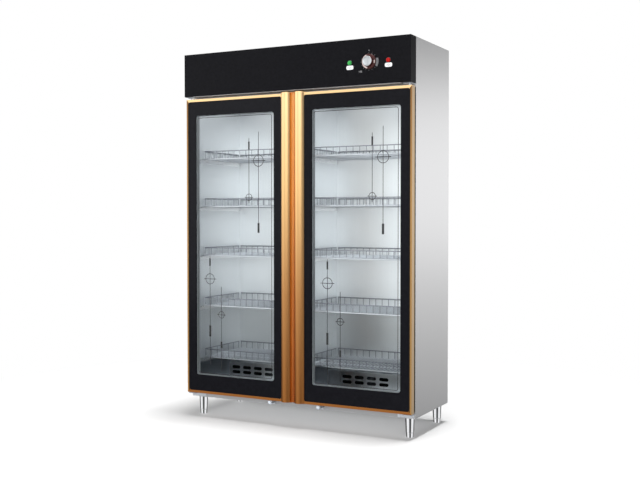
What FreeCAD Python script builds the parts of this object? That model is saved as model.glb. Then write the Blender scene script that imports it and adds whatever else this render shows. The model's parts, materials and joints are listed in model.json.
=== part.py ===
"""Two-door dish sterilizer cabinet: insulated stainless body, gold-framed glass doors, wire shelves and hot-air ducts.

Millimetres. +X is the cabinet's right as its user sees it, +Y goes from the doors to the back, +Z is up.
The origin is on the floor, in the middle of the width and of the whole depth.
"""
import math
import os

import FreeCAD
import Part

Vector = FreeCAD.Vector
X_AXIS, Y_AXIS, Z_AXIS = Vector(1, 0, 0), Vector(0, 1, 0), Vector(0, 0, 1)

# ---- Driving dimensions: body -------------------------------------------------------------------
width = 1310.0
height = 1950.0
leg_height = 100.0
body_depth = 458.0
header_projection = 67.0
header_height = 225.0
knob_height = 25.0
wall = 40.0                 # insulated wall, outer sheet to liner
sheet = 1.2                 # outer casing sheet
liner_sheet = 1.0
header_sheet = 1.5
floor_height = 65.0         # liner floor above the base
ceiling_drop = 40.0         # liner ceiling below the equipment deck
return_lip = 12.0           # folded edge of a side panel beside the liner
back_return = 20.0
rail_return = 25.0
mullion_return = 28.0

# ---- Doors --------------------------------------------------------------------------------------
door_projection = 48.0      # door face in front of the body
gasket_thickness = 14.0
gasket_width = 16.0
mullion_gasket_width = 14.0
gasket_clearance = 0.3
door_gap_top = 13.0
door_bottom_height = 29.0   # door bottom above the base
meeting_gap = 4.0
frame_face = 13.0           # gold edge that shows round the glass
frame_wall = 2.0
corner_radius = 9.0         # rounded inner corners of the gold edge
glass_thickness = 5.0
glass_edge_clearance = 0.5
stile_width = 65.0          # handle stile
stile_groove = 8.0
stile_overrun = 5.0         # handle stile stands above the top rail
grip_projection = 17.0      # grip in front of the door face
grip_thickness = 3.0
grip_setback = 12.0         # grip edge from the door's meeting edge
grip_lip_depth = 4.0
finger_floor = 12.0         # finger channel floor behind the door face
channel_wall = 7.0
meeting_lip_width = 4.0
meeting_lip_height = 6.0
stile_wall = 2.5
cap_thickness = 2.0
border_hinge = 59.5         # black border round the window, from the door's edges
border_handle = 109.5
border_top = 88.0
border_bottom = 100.0
border_wall = 2.0

# ---- Hinges and support rollers -----------------------------------------------------------------
pivot_inset = 18.0          # hinge axis from the door's outer edge
pivot_setback = 17.0        # hinge axis behind the door face
pin_radius = 5.0
pin_clearance = 0.05
pin_length = 26.0
pin_hole_radius = 7.0
bush_width = 28.0
bush_height = 25.0
bracket_width = 86.0
tongue_width = 44.0
bracket_inset = 5.0         # bracket from the side of the cabinet
bracket_plate = 4.0
bracket_flange = 3.0
bracket_flange_height = 22.0
bracket_door_gap = 3.0
bracket_front_inset = 4.0
screw_radius = 2.5
screw_head_radius = 4.5
screw_head_height = 1.6
screw_length = 8.0
bracket_screw_inset = 12.0
bracket_screw_pitch = 20.0
roller_offset = 142.0       # support roller from the centre line
roller_radius = 12.5
roller_width = 16.0
roller_pin_radius = 2.5
roller_setback = 30.0       # roller axis in front of the body
roller_side_clearance = 0.5
roller_top_clearance = 0.3
ear_thickness = 3.0
ear_margin = 6.0
roller_base_thickness = 2.0

# ---- Shelves and runners ------------------------------------------------------------------------
shelf_levels = (312.0, 595.0, 869.0, 1137.0, 1395.0)    # shelf frames above the ground
shelf_setback = 40.0        # shelf front behind the body front
shelf_side_clearance = 4.0
shelf_back_clearance = 8.0
frame_wire_radius = 3.0
floor_wire_radius = 2.0
cross_bar_radius = 2.5
rim_wire_radius = 2.5
picket_radius = 1.75
shelf_corner = 9.0          # bend of the frame wire
weld_depth = 0.5
fence_height = 43.0
fence_corner_gap = 0.5
picket_count = 15           # picket spaces along the front
side_picket_count = 6
floor_wire_count = 30
cross_bar_count = 2
runner_width = 16.0
runner_height = 20.0
runner_sheet = 1.5
runner_clearance = 0.2
runner_end_gap = 10.0

# ---- Hot-air ducts ------------------------------------------------------------------------------
duct_depth = 108.0
duct_height = 84.0
slot_length = 54.0
slot_height = 18.0
slot_pitch = 72.0
slot_row_pitch = 28.0
slot_first_row = 26.0       # lower row's centre above the liner floor
slot_margin = 16.0
slots_left = 4
slots_right = 3
blank_slots = (0, 1)        # places left unslotted before the first slot: left, right compartment
fan_radius = 28.0
fan_length = 190.0
fan_disc = 2.0
fan_blades = 14
blade_thickness = 1.2
blade_depth = 9.0
fan_end_gap = 12.0
fan_shaft_radius = 4.0
motor_radius = 30.0
motor_length = 56.0
motor_shaft_recess = 10.0
heater_radius = 4.0
heater_span = 44.0          # between the two legs of the U
heater_run = 200.0
heater_flange = 6.0

# ---- Controls and equipment ---------------------------------------------------------------------
knob_x = 437.0
lamp_spacing = 103.0
control_height = 111.0      # controls above the header's lower edge
knob_radius = 28.0
knob_root_radius = 33.0
knob_skirt_radius = 37.0
knob_skirt = 5.0
knob_gap = 0.5
knob_edge = 2.0
pointer_width = 5.0
pointer_rise = 1.2
dial_radius = 50.0
dial_thickness = 0.8
shaft_radius = 3.0
shaft_length = 14.0
neck_radius = 5.0
timer_side = 56.0
timer_depth = 38.0
lamp_radius = 11.0
lamp_flange_radius = 13.0
lamp_flange = 2.0
lamp_dome_height = 9.0
lamp_barrel_radius = 9.5
lamp_barrel_length = 34.0
contactor_size = (46.0, 82.0, 76.0)
terminal_size = (150.0, 34.0, 30.0)
switchgear_x = 330.0
switchgear_setback = 90.0
gland_radius = 11.0
gland_bore = 5.25
gland_length = 25.0
gland_flange_radius = 15.0
gland_flange = 3.0
gland_inset_x = 120.0
gland_inset_y = 70.0
vent_length = 90.0
vent_height = 6.0
vent_pitch = 16.0
vent_rows = 5
vent_offset = 330.0         # vent groups from the centre line
vent_drop = 70.0            # highest vent below the top

# ---- Legs ---------------------------------------------------------------------------------------
leg_inset_x = 44.0
leg_inset_y = 42.0
leg_flange_radius = 31.0
leg_flange = 3.0
leg_top_radius = 23.5
leg_low_radius = 20.5
leg_bore_radius = 17.5
foot_height = 24.0
foot_radius = 19.5
foot_base_radius = 17.5
foot_edge = 2.0
foot_gap = 1.0              # between sleeve and foot, wound fully in
stud_radius = 8.0
stud_clearance = 0.06
stud_length = 48.0
nut_depth = 16.0

# ---- Worked out from the driving dimensions -----------------------------------------------------
half_width = width / 2
total_depth = body_depth + header_projection + knob_height
body_back = total_depth / 2
body_front = body_back - body_depth
header_front = body_front - header_projection
header_bottom = height - header_height
base = leg_height
base_top = base + sheet
casing_top = height - sheet
liner_floor = base + floor_height
liner_ceiling = header_bottom - ceiling_drop
liner_back = body_back - wall
opening_half = half_width - wall
mullion_half = wall / 2
cavity_floor = liner_floor + liner_sheet
door_face = body_front - door_projection
door_back = body_front - gasket_thickness
door_bottom = base + door_bottom_height
door_top = header_bottom - door_gap_top
meet = meeting_gap / 2
stile_edge = meet + stile_width
glass_front = door_face + frame_wall
glass_back = glass_front + glass_thickness
window_left = meet + border_handle
window_right = half_width - border_hinge
window_top = door_top - border_top
window_bottom = door_bottom + border_bottom
pivot_x = half_width - pivot_inset
pivot_y = door_face + pivot_setback
control_z = header_bottom + control_height
duct_front = liner_back - duct_depth
duct_top = cavity_floor + duct_height


# ---- Helpers ------------------------------------------------------------------------------------
def box(x0, x1, y0, y1, z0, z1):
    """A block between two corners."""
    return Part.makeBox(x1 - x0, y1 - y0, z1 - z0, Vector(x0, y0, z0))


def rod(radius, start, end):
    """A round bar between two points."""
    along = end - start
    return Part.makeCylinder(radius, along.Length, start, along)


def prism(points, z0, z1):
    """A closed outline of (x, y) points, raised from z0 to z1."""
    corners = [Vector(x, y, z0) for x, y in points]
    face = Part.Face(Part.makePolygon(corners + corners[:1]))
    return face.extrude(Vector(0, 0, z1 - z0))


def weld(shapes):
    """Several overlapping shapes as one solid."""
    return shapes[0].multiFuse(shapes[1:]).removeSplitter()


def mirrored(shape):
    """The same piece on the cabinet's other side."""
    return shape.mirror(Vector(0, 0, 0), X_AXIS)


def both_sides(shapes):
    """The pieces given for the right side, with their mirror images."""
    return list(shapes) + [mirrored(shape) for shape in shapes]


def save(name, *shapes):
    """Writes the solids of one node."""
    solids = [solid for shape in shapes for solid in shape.Solids]
    Part.makeCompound(solids).exportStep(f"parts/{name}.step")


# ---- Outer casing -------------------------------------------------------------------------------
def side_panel():
    """Right side: outer sheet, front return with a lip beside the liner, and a return for the back panel."""
    rear = body_back - sheet
    inner = half_width - sheet
    return prism(
        [
            (half_width, body_front),
            (half_width, rear),
            (half_width - back_return, rear),
            (half_width - back_return, rear - sheet),
            (inner, rear - sheet),
            (inner, body_front + sheet),
            (opening_half + sheet, body_front + sheet),
            (opening_half + sheet, body_front + return_lip),
            (opening_half, body_front + return_lip),
            (opening_half, body_front),
        ],
        base_top,
        casing_top,
    )


def vent_slots(z_top):
    """Cutters for the two groups of vents in the back panel."""
    cutters = []
    for centre in (-vent_offset, vent_offset):
        for row in range(vent_rows):
            z = z_top - row * vent_pitch
            cutters.append(
                box(
                    centre - vent_length / 2,
                    centre + vent_length / 2,
                    body_back - 2 * sheet,
                    body_back + sheet,
                    z - vent_height,
                    z,
                )
            )
    return cutters


def casing():
    """Side, top, back and base sheets."""
    save("side_panel_right", side_panel())
    save("side_panel_left", mirrored(side_panel()))
    save("top_panel", box(-half_width, half_width, body_front, body_back, casing_top, height))
    back = box(-half_width, half_width, body_back - sheet, body_back, base_top, casing_top)
    save("back_panel", back.cut(Part.makeCompound(vent_slots(height - vent_drop))))
    pan = box(-half_width, half_width, body_front, body_back, base, base_top)
    hole = rod(gland_radius, gland_centre(base - sheet), gland_centre(base_top + sheet))
    save("base_pan", pan.cut(hole))


def front_frame():
    """Bottom rail, centre mullion, and the equipment deck whose folded front is the top rail."""
    rail_face = box(-opening_half, opening_half, body_front, body_front + sheet, base_top, liner_floor)
    rail_fold = box(
        -opening_half,
        opening_half,
        body_front + sheet,
        body_front + sheet + rail_return,
        liner_floor - sheet,
        liner_floor,
    )
    save("bottom_rail", weld([rail_face, rail_fold]))

    deck_face = box(
        -opening_half, opening_half, body_front, body_front + sheet, liner_ceiling, header_bottom + sheet
    )
    deck = box(
        -opening_half,
        opening_half,
        body_front + sheet,
        body_back - 2 * sheet,
        header_bottom,
        header_bottom + sheet,
    )
    save("equipment_deck", weld([deck_face, deck]))

    fold = body_front + sheet + mullion_return
    save(
        "centre_mullion",
        prism(
            [
                (-mullion_half, body_front),
                (mullion_half, body_front),
                (mullion_half, fold),
                (mullion_half - sheet, fold),
                (mullion_half - sheet, body_front + sheet),
                (-mullion_half + sheet, body_front + sheet),
                (-mullion_half + sheet, fold),
                (-mullion_half, fold),
            ],
            liner_floor,
            liner_ceiling,
        ),
    )


# ---- Liner and insulation -----------------------------------------------------------------------
def liners():
    """Two stainless compartments: walls, backs, and floor and ceiling decks."""
    t = liner_sheet
    low, high = mullion_half, opening_half
    walls = [
        box(x, x + t, body_front, liner_back, cavity_floor, liner_ceiling - t) for x in (low, high - t)
    ]
    back = box(low, high, liner_back, liner_back + t, liner_floor, liner_ceiling)
    floor = box(low, high, body_front, liner_back, liner_floor, cavity_floor)
    ceiling = box(low, high, body_front, liner_back, liner_ceiling - t, liner_ceiling)
    save("liner_walls", *both_sides(walls))
    save("liner_backs", *both_sides([back]))
    save("liner_decks", *both_sides([floor, ceiling]))


def insulation():
    """Slabs that fill the walls, floor, ceiling and centre partition."""
    behind = body_back - 2 * sheet
    wool_back = liner_back + liner_sheet
    side = box(
        opening_half + sheet, half_width - sheet, body_front + sheet, behind, base_top, header_bottom
    )
    back = box(-opening_half, opening_half, wool_back, behind, base_top, header_bottom)
    top = box(-opening_half, opening_half, body_front + sheet, wool_back, liner_ceiling, header_bottom)
    floor = box(
        -opening_half, opening_half, body_front + sheet, wool_back, base_top, liner_floor - sheet
    )
    gland_room = rod(
        gland_flange_radius + sheet, gland_centre(base_top - sheet), gland_centre(liner_floor)
    )
    centre = box(
        -mullion_half,
        mullion_half,
        body_front + sheet + mullion_return,
        wool_back,
        liner_floor,
        liner_ceiling,
    )
    save("insulation_slabs", *both_sides([side]), back, top, floor.cut(gland_room), centre)


# ---- Header, controls and equipment -------------------------------------------------------------
def header():
    """Folded black fascia, open at the back, drilled for the timer and the two lamps."""
    outer = box(-half_width, half_width, header_front, body_front, header_bottom, height)
    edges = [
        edge
        for edge in outer.Edges
        if all(abs(vertex.Y - header_front) < header_sheet / 2 for vertex in edge.Vertexes)
    ]
    outer = outer.makeFillet(header_sheet, edges)
    inner = box(
        -half_width + header_sheet,
        half_width - header_sheet,
        header_front + header_sheet,
        body_front + header_sheet,
        header_bottom + header_sheet,
        height - header_sheet,
    )
    shell = outer.cut(inner)
    for x, radius in (
        (knob_x, neck_radius),
        (knob_x - lamp_spacing, lamp_barrel_radius),
        (knob_x + lamp_spacing, lamp_barrel_radius),
    ):
        through = rod(
            radius,
            Vector(x, header_front - header_sheet, control_z),
            Vector(x, header_front + 2 * header_sheet, control_z),
        )
        shell = shell.cut(through)
    save("header_panel", shell)


def lamp(x):
    """A pilot lamp: domed lens on a flange, with its barrel through the fascia."""
    at = Vector(x, header_front, control_z)
    barrel = rod(lamp_barrel_radius, at, at + Y_AXIS * lamp_barrel_length)
    flange = rod(lamp_flange_radius, at, at - Y_AXIS * lamp_flange)
    ball_radius = (lamp_radius**2 + lamp_dome_height**2) / (2 * lamp_dome_height)
    seat = lamp_flange - weld_depth
    ball = Part.makeSphere(ball_radius, at + Y_AXIS * (ball_radius - lamp_dome_height - seat))
    dome = ball.common(rod(lamp_radius, at - Y_AXIS * seat, at - Y_AXIS * (seat + 2 * lamp_dome_height)))
    return weld([barrel, flange, dome])


def timer():
    """Mechanical timer: body with its threaded neck, the dial, and the knob on its shaft."""
    centre = Vector(knob_x, header_front, control_z)
    behind = header_front + header_sheet
    half = timer_side / 2
    case = box(
        knob_x - half, knob_x + half, behind, behind + timer_depth, control_z - half, control_z + half
    )
    case = case.makeFillet(header_sheet, [edge for edge in case.Edges if edge.Length < timer_side])
    neck = rod(neck_radius, centre - Y_AXIS * dial_thickness, centre + Y_AXIS * (2 * header_sheet))
    bore = rod(
        shaft_radius + pin_clearance,
        centre - Y_AXIS * knob_height,
        centre + Y_AXIS * (shaft_length + header_sheet),
    )
    save("timer_body", weld([case, neck]).cut(bore))

    plate = rod(dial_radius, centre - Y_AXIS * dial_thickness, centre)
    hole = rod(neck_radius, centre - Y_AXIS * knob_height, centre + Y_AXIS * header_sheet)
    save("timer_dial", plate.cut(hole))

    foot = centre - Y_AXIS * (dial_thickness + knob_gap)
    top = centre - Y_AXIS * knob_height
    skirt = rod(knob_skirt_radius, foot, foot - Y_AXIS * knob_skirt)
    skirt = skirt.makeChamfer(knob_edge, [rim(skirt, (foot - Y_AXIS * knob_skirt).y)])
    face = top + Y_AXIS * pointer_rise
    grip = Part.makeCone(knob_root_radius, knob_radius, foot.y - face.y, foot, -Y_AXIS)
    grip = grip.makeFillet(knob_edge, [rim(grip, face.y)])
    pointer = box(
        knob_x - pointer_width / 2,
        knob_x + pointer_width / 2,
        top.y,
        foot.y - knob_skirt,
        control_z,
        control_z + knob_radius - knob_edge,
    )
    shaft = rod(shaft_radius, foot - Y_AXIS * knob_skirt, centre + Y_AXIS * shaft_length)
    save("timer_knob", weld([skirt, grip, pointer, shaft]))


def rim(shape, y):
    """The round edge of a shape that lies in the plane of that y."""
    for edge in shape.Edges:
        if abs(edge.BoundBox.YMin - y) < 1e-6 and abs(edge.BoundBox.YMax - y) < 1e-6:
            return edge
    raise ValueError("no rim in that plane")


def controls():
    """Everything on and behind the fascia."""
    save("green_lamp", lamp(knob_x - lamp_spacing))
    save("red_lamp", lamp(knob_x + lamp_spacing))
    timer()
    deck = header_bottom + sheet
    y = body_front + switchgear_setback
    across, deep, tall = contactor_size
    contactor = box(switchgear_x - across, switchgear_x, y, y + deep, deck, deck + tall)
    contactor = contactor.makeFillet(
        header_sheet, [edge for edge in contactor.Edges if edge.BoundBox.ZMin > deck]
    )
    long, deep, tall = terminal_size
    block = box(knob_x, knob_x + long, y, y + deep, deck, deck + tall)
    ways = 10
    for way in range(1, ways):
        x = knob_x + way * long / ways
        block = block.cut(box(x - sheet, x + sheet, y - sheet, y + deep + sheet, deck + tall / 2, height))
    save("switchgear", contactor, block)


def gland_centre(z):
    """A point on the cable gland's axis."""
    return Vector(half_width - gland_inset_x, body_back - gland_inset_y, z)


def cable_gland():
    """Gland for the mains lead, pointing down through the base near the back."""
    top = base_top + gland_flange
    body = rod(gland_radius, gland_centre(top - gland_length), gland_centre(top))
    flange = rod(gland_flange_radius, gland_centre(base_top), gland_centre(top))
    bore = rod(gland_bore, gland_centre(base - gland_length), gland_centre(top + gland_flange))
    save("cable_gland", weld([body, flange]).cut(bore))


# ---- Hot-air ducts ------------------------------------------------------------------------------
def duct_slot(x, z):
    """Cutter for one slot with round ends."""
    half, radius = slot_length / 2, slot_height / 2
    y0, y1 = duct_front - sheet, duct_front + 2 * sheet
    ends = [
        rod(radius, Vector(side, y0, z), Vector(side, y1, z))
        for side in (x - half + radius, x + half - radius)
    ]
    middle = box(x - half + radius, x + half - radius, y0, y1, z - radius, z + radius)
    return weld([middle] + ends)


def duct_cover(low, high, blank):
    """Slotted front plate and plain top plate over the fan and the heater, across one compartment."""
    t = liner_sheet
    front = box(low, high, duct_front, duct_front + t, cavity_floor, duct_top)
    top = box(low, high, duct_front + t, liner_back, duct_top - t, duct_top)
    first = low + slot_margin + slot_length / 2
    last = high - slot_margin - slot_length / 2
    columns = [first + slot_pitch * (blank + n) for n in range(slots_left)]
    columns += [last - slot_pitch * n for n in range(slots_right - blank)]
    rows = [cavity_floor + slot_first_row + slot_row_pitch * n for n in range(2)]
    slots = [duct_slot(x, z) for x in columns for z in rows]
    return [front.cut(Part.makeCompound(slots)), top]


def fan_wheel(start):
    """A cross-flow drum: end discs, blades between them, and a stub shaft into the motor."""
    y = (duct_front + liner_back) / 2
    z = (cavity_floor + duct_top) / 2
    left, right = Vector(start, y, z), Vector(start + fan_length, y, z)
    discs = [
        rod(fan_radius, left, left + X_AXIS * fan_disc),
        rod(fan_radius, right - X_AXIS * fan_disc, right),
    ]
    blade = box(
        start + fan_disc / 2,
        start + fan_length - fan_disc / 2,
        y - blade_thickness / 2,
        y + blade_thickness / 2,
        z + fan_radius - blade_depth,
        z + fan_radius - blade_thickness,
    )
    blades = []
    for number in range(fan_blades):
        turned = blade.copy()
        turned.rotate(Vector(start, y, z), X_AXIS, number * 360.0 / fan_blades)
        blades.append(turned)
    shaft = rod(fan_shaft_radius, right - X_AXIS * fan_disc, right + X_AXIS * fan_end_gap)
    return weld(discs + blades + [shaft])


def fan_motor(start):
    """A round motor with a bore for the drum's shaft, on a foot that stands on the liner floor."""
    y = (duct_front + liner_back) / 2
    z = (cavity_floor + duct_top) / 2
    at = start + fan_length + fan_end_gap - motor_shaft_recess
    can = rod(motor_radius, Vector(at, y, z), Vector(at + motor_length, y, z))
    foot = box(
        at + motor_shaft_recess,
        at + motor_length - motor_shaft_recess,
        y - motor_radius * 2 / 3,
        y + motor_radius * 2 / 3,
        cavity_floor,
        z,
    )
    recess = rod(
        fan_shaft_radius + pin_clearance,
        Vector(at - sheet, y, z),
        Vector(at + motor_shaft_recess + sheet, y, z),
    )
    return weld([can, foot]).cut(recess)


def heater(end):
    """A U-shaped element whose flange is fixed to the compartment's side wall."""
    y = (duct_front + liner_back) / 2
    z = (cavity_floor + duct_top) / 2
    half = heater_span / 2
    bend_x = end - heater_flange - heater_run
    legs = [
        rod(heater_radius, Vector(end - heater_flange / 2, y + side, z), Vector(bend_x, y + side, z))
        for side in (-half, half)
    ]
    ring = Part.makeTorus(half, heater_radius, Vector(bend_x, y, z), Z_AXIS)
    reach = half + heater_radius
    bend = ring.common(
        box(bend_x - reach, bend_x, y - reach, y + reach, z - heater_radius, z + heater_radius)
    )
    flange = box(
        end - heater_flange, end, y - reach, y + reach, z - 2 * heater_radius, z + 2 * heater_radius
    )
    return weld(legs + [bend, flange])


def fan_start(low):
    """Where a fan drum begins, from its compartment's left wall."""
    return low + fan_end_gap


def ducts():
    """One duct per compartment, side by side: fan at the left, heater at the right."""
    t = liner_sheet
    spans = [(-opening_half + t, -mullion_half - t), (mullion_half + t, opening_half - t)]
    covers = [duct_cover(*span, blank) for span, blank in zip(spans, blank_slots)]
    save("duct_covers", *[plate for cover in covers for plate in cover])
    save("fan_motors", *[fan_motor(fan_start(low)) for low, _ in spans])
    save("heater_tubes", *[heater(high) for _, high in spans])
    for side, (low, _) in zip(("left", "right"), spans):
        save(f"{side}_fan_wheel", fan_wheel(fan_start(low)))


# ---- Shelves ------------------------------------------------------------------------------------
def wire_fence(start, end, spaces, drop):
    """An upright mat: a rim wire from start to end, with pickets down to the shelf frame."""
    pickets = []
    for number in range(spaces + 1):
        top = start + (end - start) * (number / spaces)
        pickets.append(rod(picket_radius, top, top - Z_AXIS * drop))
    along = (end - start).normalize() * rim_wire_radius
    return weld([rod(rim_wire_radius, start - along, end + along)] + pickets)


def frame_wire(low, high, front, back, z):
    """The wire round a shelf, bent at its four corners."""
    r = shelf_corner
    turn = r * (1 - 0.5**0.5)
    corners = [(low, front, 1, 1), (high, front, -1, 1), (high, back, -1, -1), (low, back, 1, -1)]
    edges = []
    previous = Vector(low, back - r, z)
    for number, (x, y, into_x, into_y) in enumerate(corners):
        on_side = Vector(x, y + into_y * r, z)
        on_end = Vector(x + into_x * r, y, z)
        start, finish = (on_side, on_end) if number % 2 == 0 else (on_end, on_side)
        middle = Vector(x + into_x * turn, y + into_y * turn, z)
        edges.append(Part.LineSegment(previous, start).toShape())
        edges.append(Part.Arc(start, middle, finish).toShape())
        previous = finish
    section = Part.Wire(Part.makeCircle(frame_wire_radius, Vector(low, back - r, z), Y_AXIS))
    return Part.Wire(edges).makePipeShell([section], True, False)


def shelf():
    """A shelf of the right compartment, at ground height: a floor mat and four fences that touch it."""
    low = mullion_half + liner_sheet + shelf_side_clearance + frame_wire_radius
    high = opening_half - liner_sheet - shelf_side_clearance - frame_wire_radius
    front = body_front + shelf_setback + frame_wire_radius
    back = liner_back - shelf_back_clearance - frame_wire_radius
    bar_z = frame_wire_radius - cross_bar_radius
    wire_z = frame_wire_radius + floor_wire_radius - weld_depth
    mat = [frame_wire(low, high, front, back, 0)]
    for number in range(1, cross_bar_count + 1):
        y = front + (back - front) * number / (cross_bar_count + 1)
        mat.append(rod(cross_bar_radius, Vector(low, y, bar_z), Vector(high, y, bar_z)))
    bend = shelf_corner
    floor_pitch = (high - low - 2 * bend) / floor_wire_count
    for number in range(floor_wire_count):
        x = low + bend + floor_pitch * (number + 0.5)
        mat.append(rod(floor_wire_radius, Vector(x, front, wire_z), Vector(x, back, wire_z)))

    drop = fence_height - frame_wire_radius
    side_start = front + rim_wire_radius + picket_radius + fence_corner_gap
    side_end = back - rim_wire_radius - picket_radius - fence_corner_gap
    ends = [
        wire_fence(
            Vector(low + bend, y, fence_height), Vector(high - bend, y, fence_height), picket_count, drop
        )
        for y in (front, back)
    ]
    sides = [
        wire_fence(
            Vector(x, side_start + bend, fence_height),
            Vector(x, side_end - bend, fence_height),
            side_picket_count,
            drop,
        )
        for x in (low, high)
    ]
    return [weld(mat)] + ends + sides


def shelves():
    """Ten equal shelves, numbered from the lowest."""
    pattern = Part.makeCompound(shelf())
    other = mirrored(pattern)
    for number, level in enumerate(shelf_levels, 1):
        save(f"right_shelf_{number}", pattern.translated(Vector(0, 0, level)))
        save(f"left_shelf_{number}", other.translated(Vector(0, 0, level)))


def runners():
    """Angles on the four liner walls, a pair under each shelf."""
    top = -frame_wire_radius - runner_clearance
    y0, y1 = body_front + runner_end_gap, liner_back - runner_end_gap
    angles = []
    for wall_x, inward in ((mullion_half + liner_sheet, 1), (opening_half - liner_sheet, -1)):
        ledge = sorted((wall_x, wall_x + inward * runner_width))
        upright = sorted((wall_x, wall_x + inward * runner_sheet))
        angle = weld(
            [
                box(ledge[0], ledge[1], y0, y1, top - runner_sheet, top),
                box(upright[0], upright[1], y0, y1, top - runner_height, top),
            ]
        )
        angles += [angle.translated(Vector(0, 0, level)) for level in shelf_levels]
    save("shelf_runners", *both_sides(angles))


# ---- Doors --------------------------------------------------------------------------------------
def edge_bar(low, high, along, place):
    """An L-shaped edge profile: front lip and outer wall. place turns (across, depth) into a point."""
    depth = door_back - door_face
    outline = [
        (0, 0),
        (frame_face, 0),
        (frame_face, frame_wall),
        (frame_wall, frame_wall),
        (frame_wall, depth),
        (0, depth),
    ]
    points = [place(across, deep, low) for across, deep in outline]
    return Part.Face(Part.makePolygon(points + points[:1])).extrude(along * (high - low))


def beyond_mitre(z, sense):
    """The stile's half of an outer corner, to cut from a rail; sense is 1 at the top, -1 at the bottom."""
    reach = frame_face + frame_wall
    front = door_face - frame_wall
    corners = [
        Vector(half_width + reach, front, z + sense * reach),
        Vector(half_width + reach, front, z - sense * reach),
        Vector(half_width - reach, front, z - sense * reach),
    ]
    outline = Part.Face(Part.makePolygon(corners + corners[:1]))
    return outline.extrude(Vector(0, door_back - front + frame_wall, 0))


def corner_web(x, z, into_x, into_z):
    """The web that rounds an inner corner of the gold edge, at the corner (x, z) of its opening."""
    r = corner_radius
    x0, x1 = sorted((x, x + into_x * r))
    z0, z1 = sorted((z, z + into_z * r))
    web = box(x0, x1, door_face, glass_front, z0, z1)
    middle = Vector(x + into_x * r, door_face - frame_wall, z + into_z * r)
    return web.cut(rod(r, middle, middle + Y_AXIS * (3 * frame_wall)))


def door_frame():
    """Gold rails and hinge stile of the right door, mitred at the two outer corners."""
    stile = edge_bar(
        door_bottom, door_top, Z_AXIS, lambda a, d, z: Vector(half_width - a, door_face + d, z)
    )
    top = edge_bar(
        stile_edge, half_width, X_AXIS, lambda a, d, x: Vector(x, door_face + d, door_top - a)
    )
    bottom = edge_bar(
        stile_edge, half_width, X_AXIS, lambda a, d, x: Vector(x, door_face + d, door_bottom + a)
    )
    top = top.cut(beyond_mitre(door_top, 1))
    bottom = bottom.cut(beyond_mitre(door_bottom, -1))
    stile = stile.cut(top).cut(bottom)
    high, low = door_top - frame_face, door_bottom + frame_face
    side = half_width - frame_face
    top = weld([top, corner_web(side, high, -1, -1), corner_web(stile_edge, high, 1, -1)])
    bottom = weld([bottom, corner_web(side, low, -1, 1), corner_web(stile_edge, low, 1, 1)])
    for z in (door_bottom, door_top):
        hole = rod(
            pin_hole_radius,
            Vector(pivot_x, pivot_y, z - 2 * frame_wall),
            Vector(pivot_x, pivot_y, z + 2 * frame_wall),
        )
        top = top.cut(hole)
        bottom = bottom.cut(hole)
    return stile, [top, bottom]


def handle_stile():
    """Handle extrusion of the right door: hollow base, finger channel, curved grip, and end caps."""
    z0, z1 = door_bottom + cap_thickness, door_top + stile_overrun - cap_thickness
    channel_floor = door_face + finger_floor
    groove = stile_edge - stile_groove
    grip_edge = meet + grip_setback
    peak = door_face - grip_projection
    middle = (grip_edge + stile_edge) / 2
    channel_end = groove - channel_wall

    def at(x, y):
        return Vector(x, y, z0)

    lip_outer = at(grip_edge, door_face - grip_lip_depth)
    lip_inner = at(grip_edge + grip_thickness, door_face - grip_lip_depth + grip_thickness / 3)
    lip_nose = at(grip_edge + grip_thickness / 3, door_face - grip_lip_depth + grip_thickness / 2)
    tail = at(stile_edge, door_face)
    outer_arc = Part.Arc(tail, at(middle, peak), lip_outer).toShape()
    nose = Part.Arc(lip_outer, lip_nose, lip_inner).toShape()
    inner_top = at(channel_end, peak + 2 * grip_thickness)
    inner_arc = Part.Arc(lip_inner, at(middle - grip_thickness, peak + grip_thickness), inner_top).toShape()
    lip_x, lip_y = meet + meeting_lip_width, channel_floor - meeting_lip_height
    rest = [
        inner_top,
        at(channel_end, channel_floor),
        at(lip_x, channel_floor),
        at(lip_x, lip_y),
        at(meet, lip_y),
        at(meet, door_back),
        at(groove, door_back),
        at(groove, glass_front),
        at(stile_edge, glass_front),
        tail,
    ]
    lines = [Part.LineSegment(a, b).toShape() for a, b in zip(rest, rest[1:])]
    outline = Part.Wire(Part.__sortEdges__([outer_arc, nose, inner_arc] + lines))
    profile = Part.Face(outline).extrude(Vector(0, 0, z1 - z0))
    hollow = box(
        meet + stile_wall, groove - stile_wall, channel_floor + stile_wall, door_back - stile_wall, z0, z1
    )
    profile = profile.cut(hollow)

    cover_edges = [
        Part.Arc(tail, at(middle, peak), lip_outer).toShape(),
        Part.LineSegment(lip_outer, at(meet, lip_y)).toShape(),
        Part.LineSegment(at(meet, lip_y), at(meet, door_back)).toShape(),
        Part.LineSegment(at(meet, door_back), at(stile_edge, door_back)).toShape(),
        Part.LineSegment(at(stile_edge, door_back), tail).toShape(),
    ]
    cover = Part.Face(Part.Wire(Part.__sortEdges__(cover_edges))).extrude(Vector(0, 0, cap_thickness))
    caps = [cover.translated(Vector(0, 0, -cap_thickness)), cover.translated(Vector(0, 0, z1 - z0))]
    return [profile] + caps


def tube_bar(x0, x1, z0, z1, upright):
    """A hollow bar of the black inner frame, open at its two ends."""
    w = border_wall
    outer = box(x0, x1, glass_back, door_back, z0, z1)
    if upright:
        hollow = box(x0 + w, x1 - w, glass_back + w, door_back - w, z0, z1)
    else:
        hollow = box(x0, x1, glass_back + w, door_back - w, z0 + w, z1 - w)
    return outer.cut(hollow)


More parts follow.
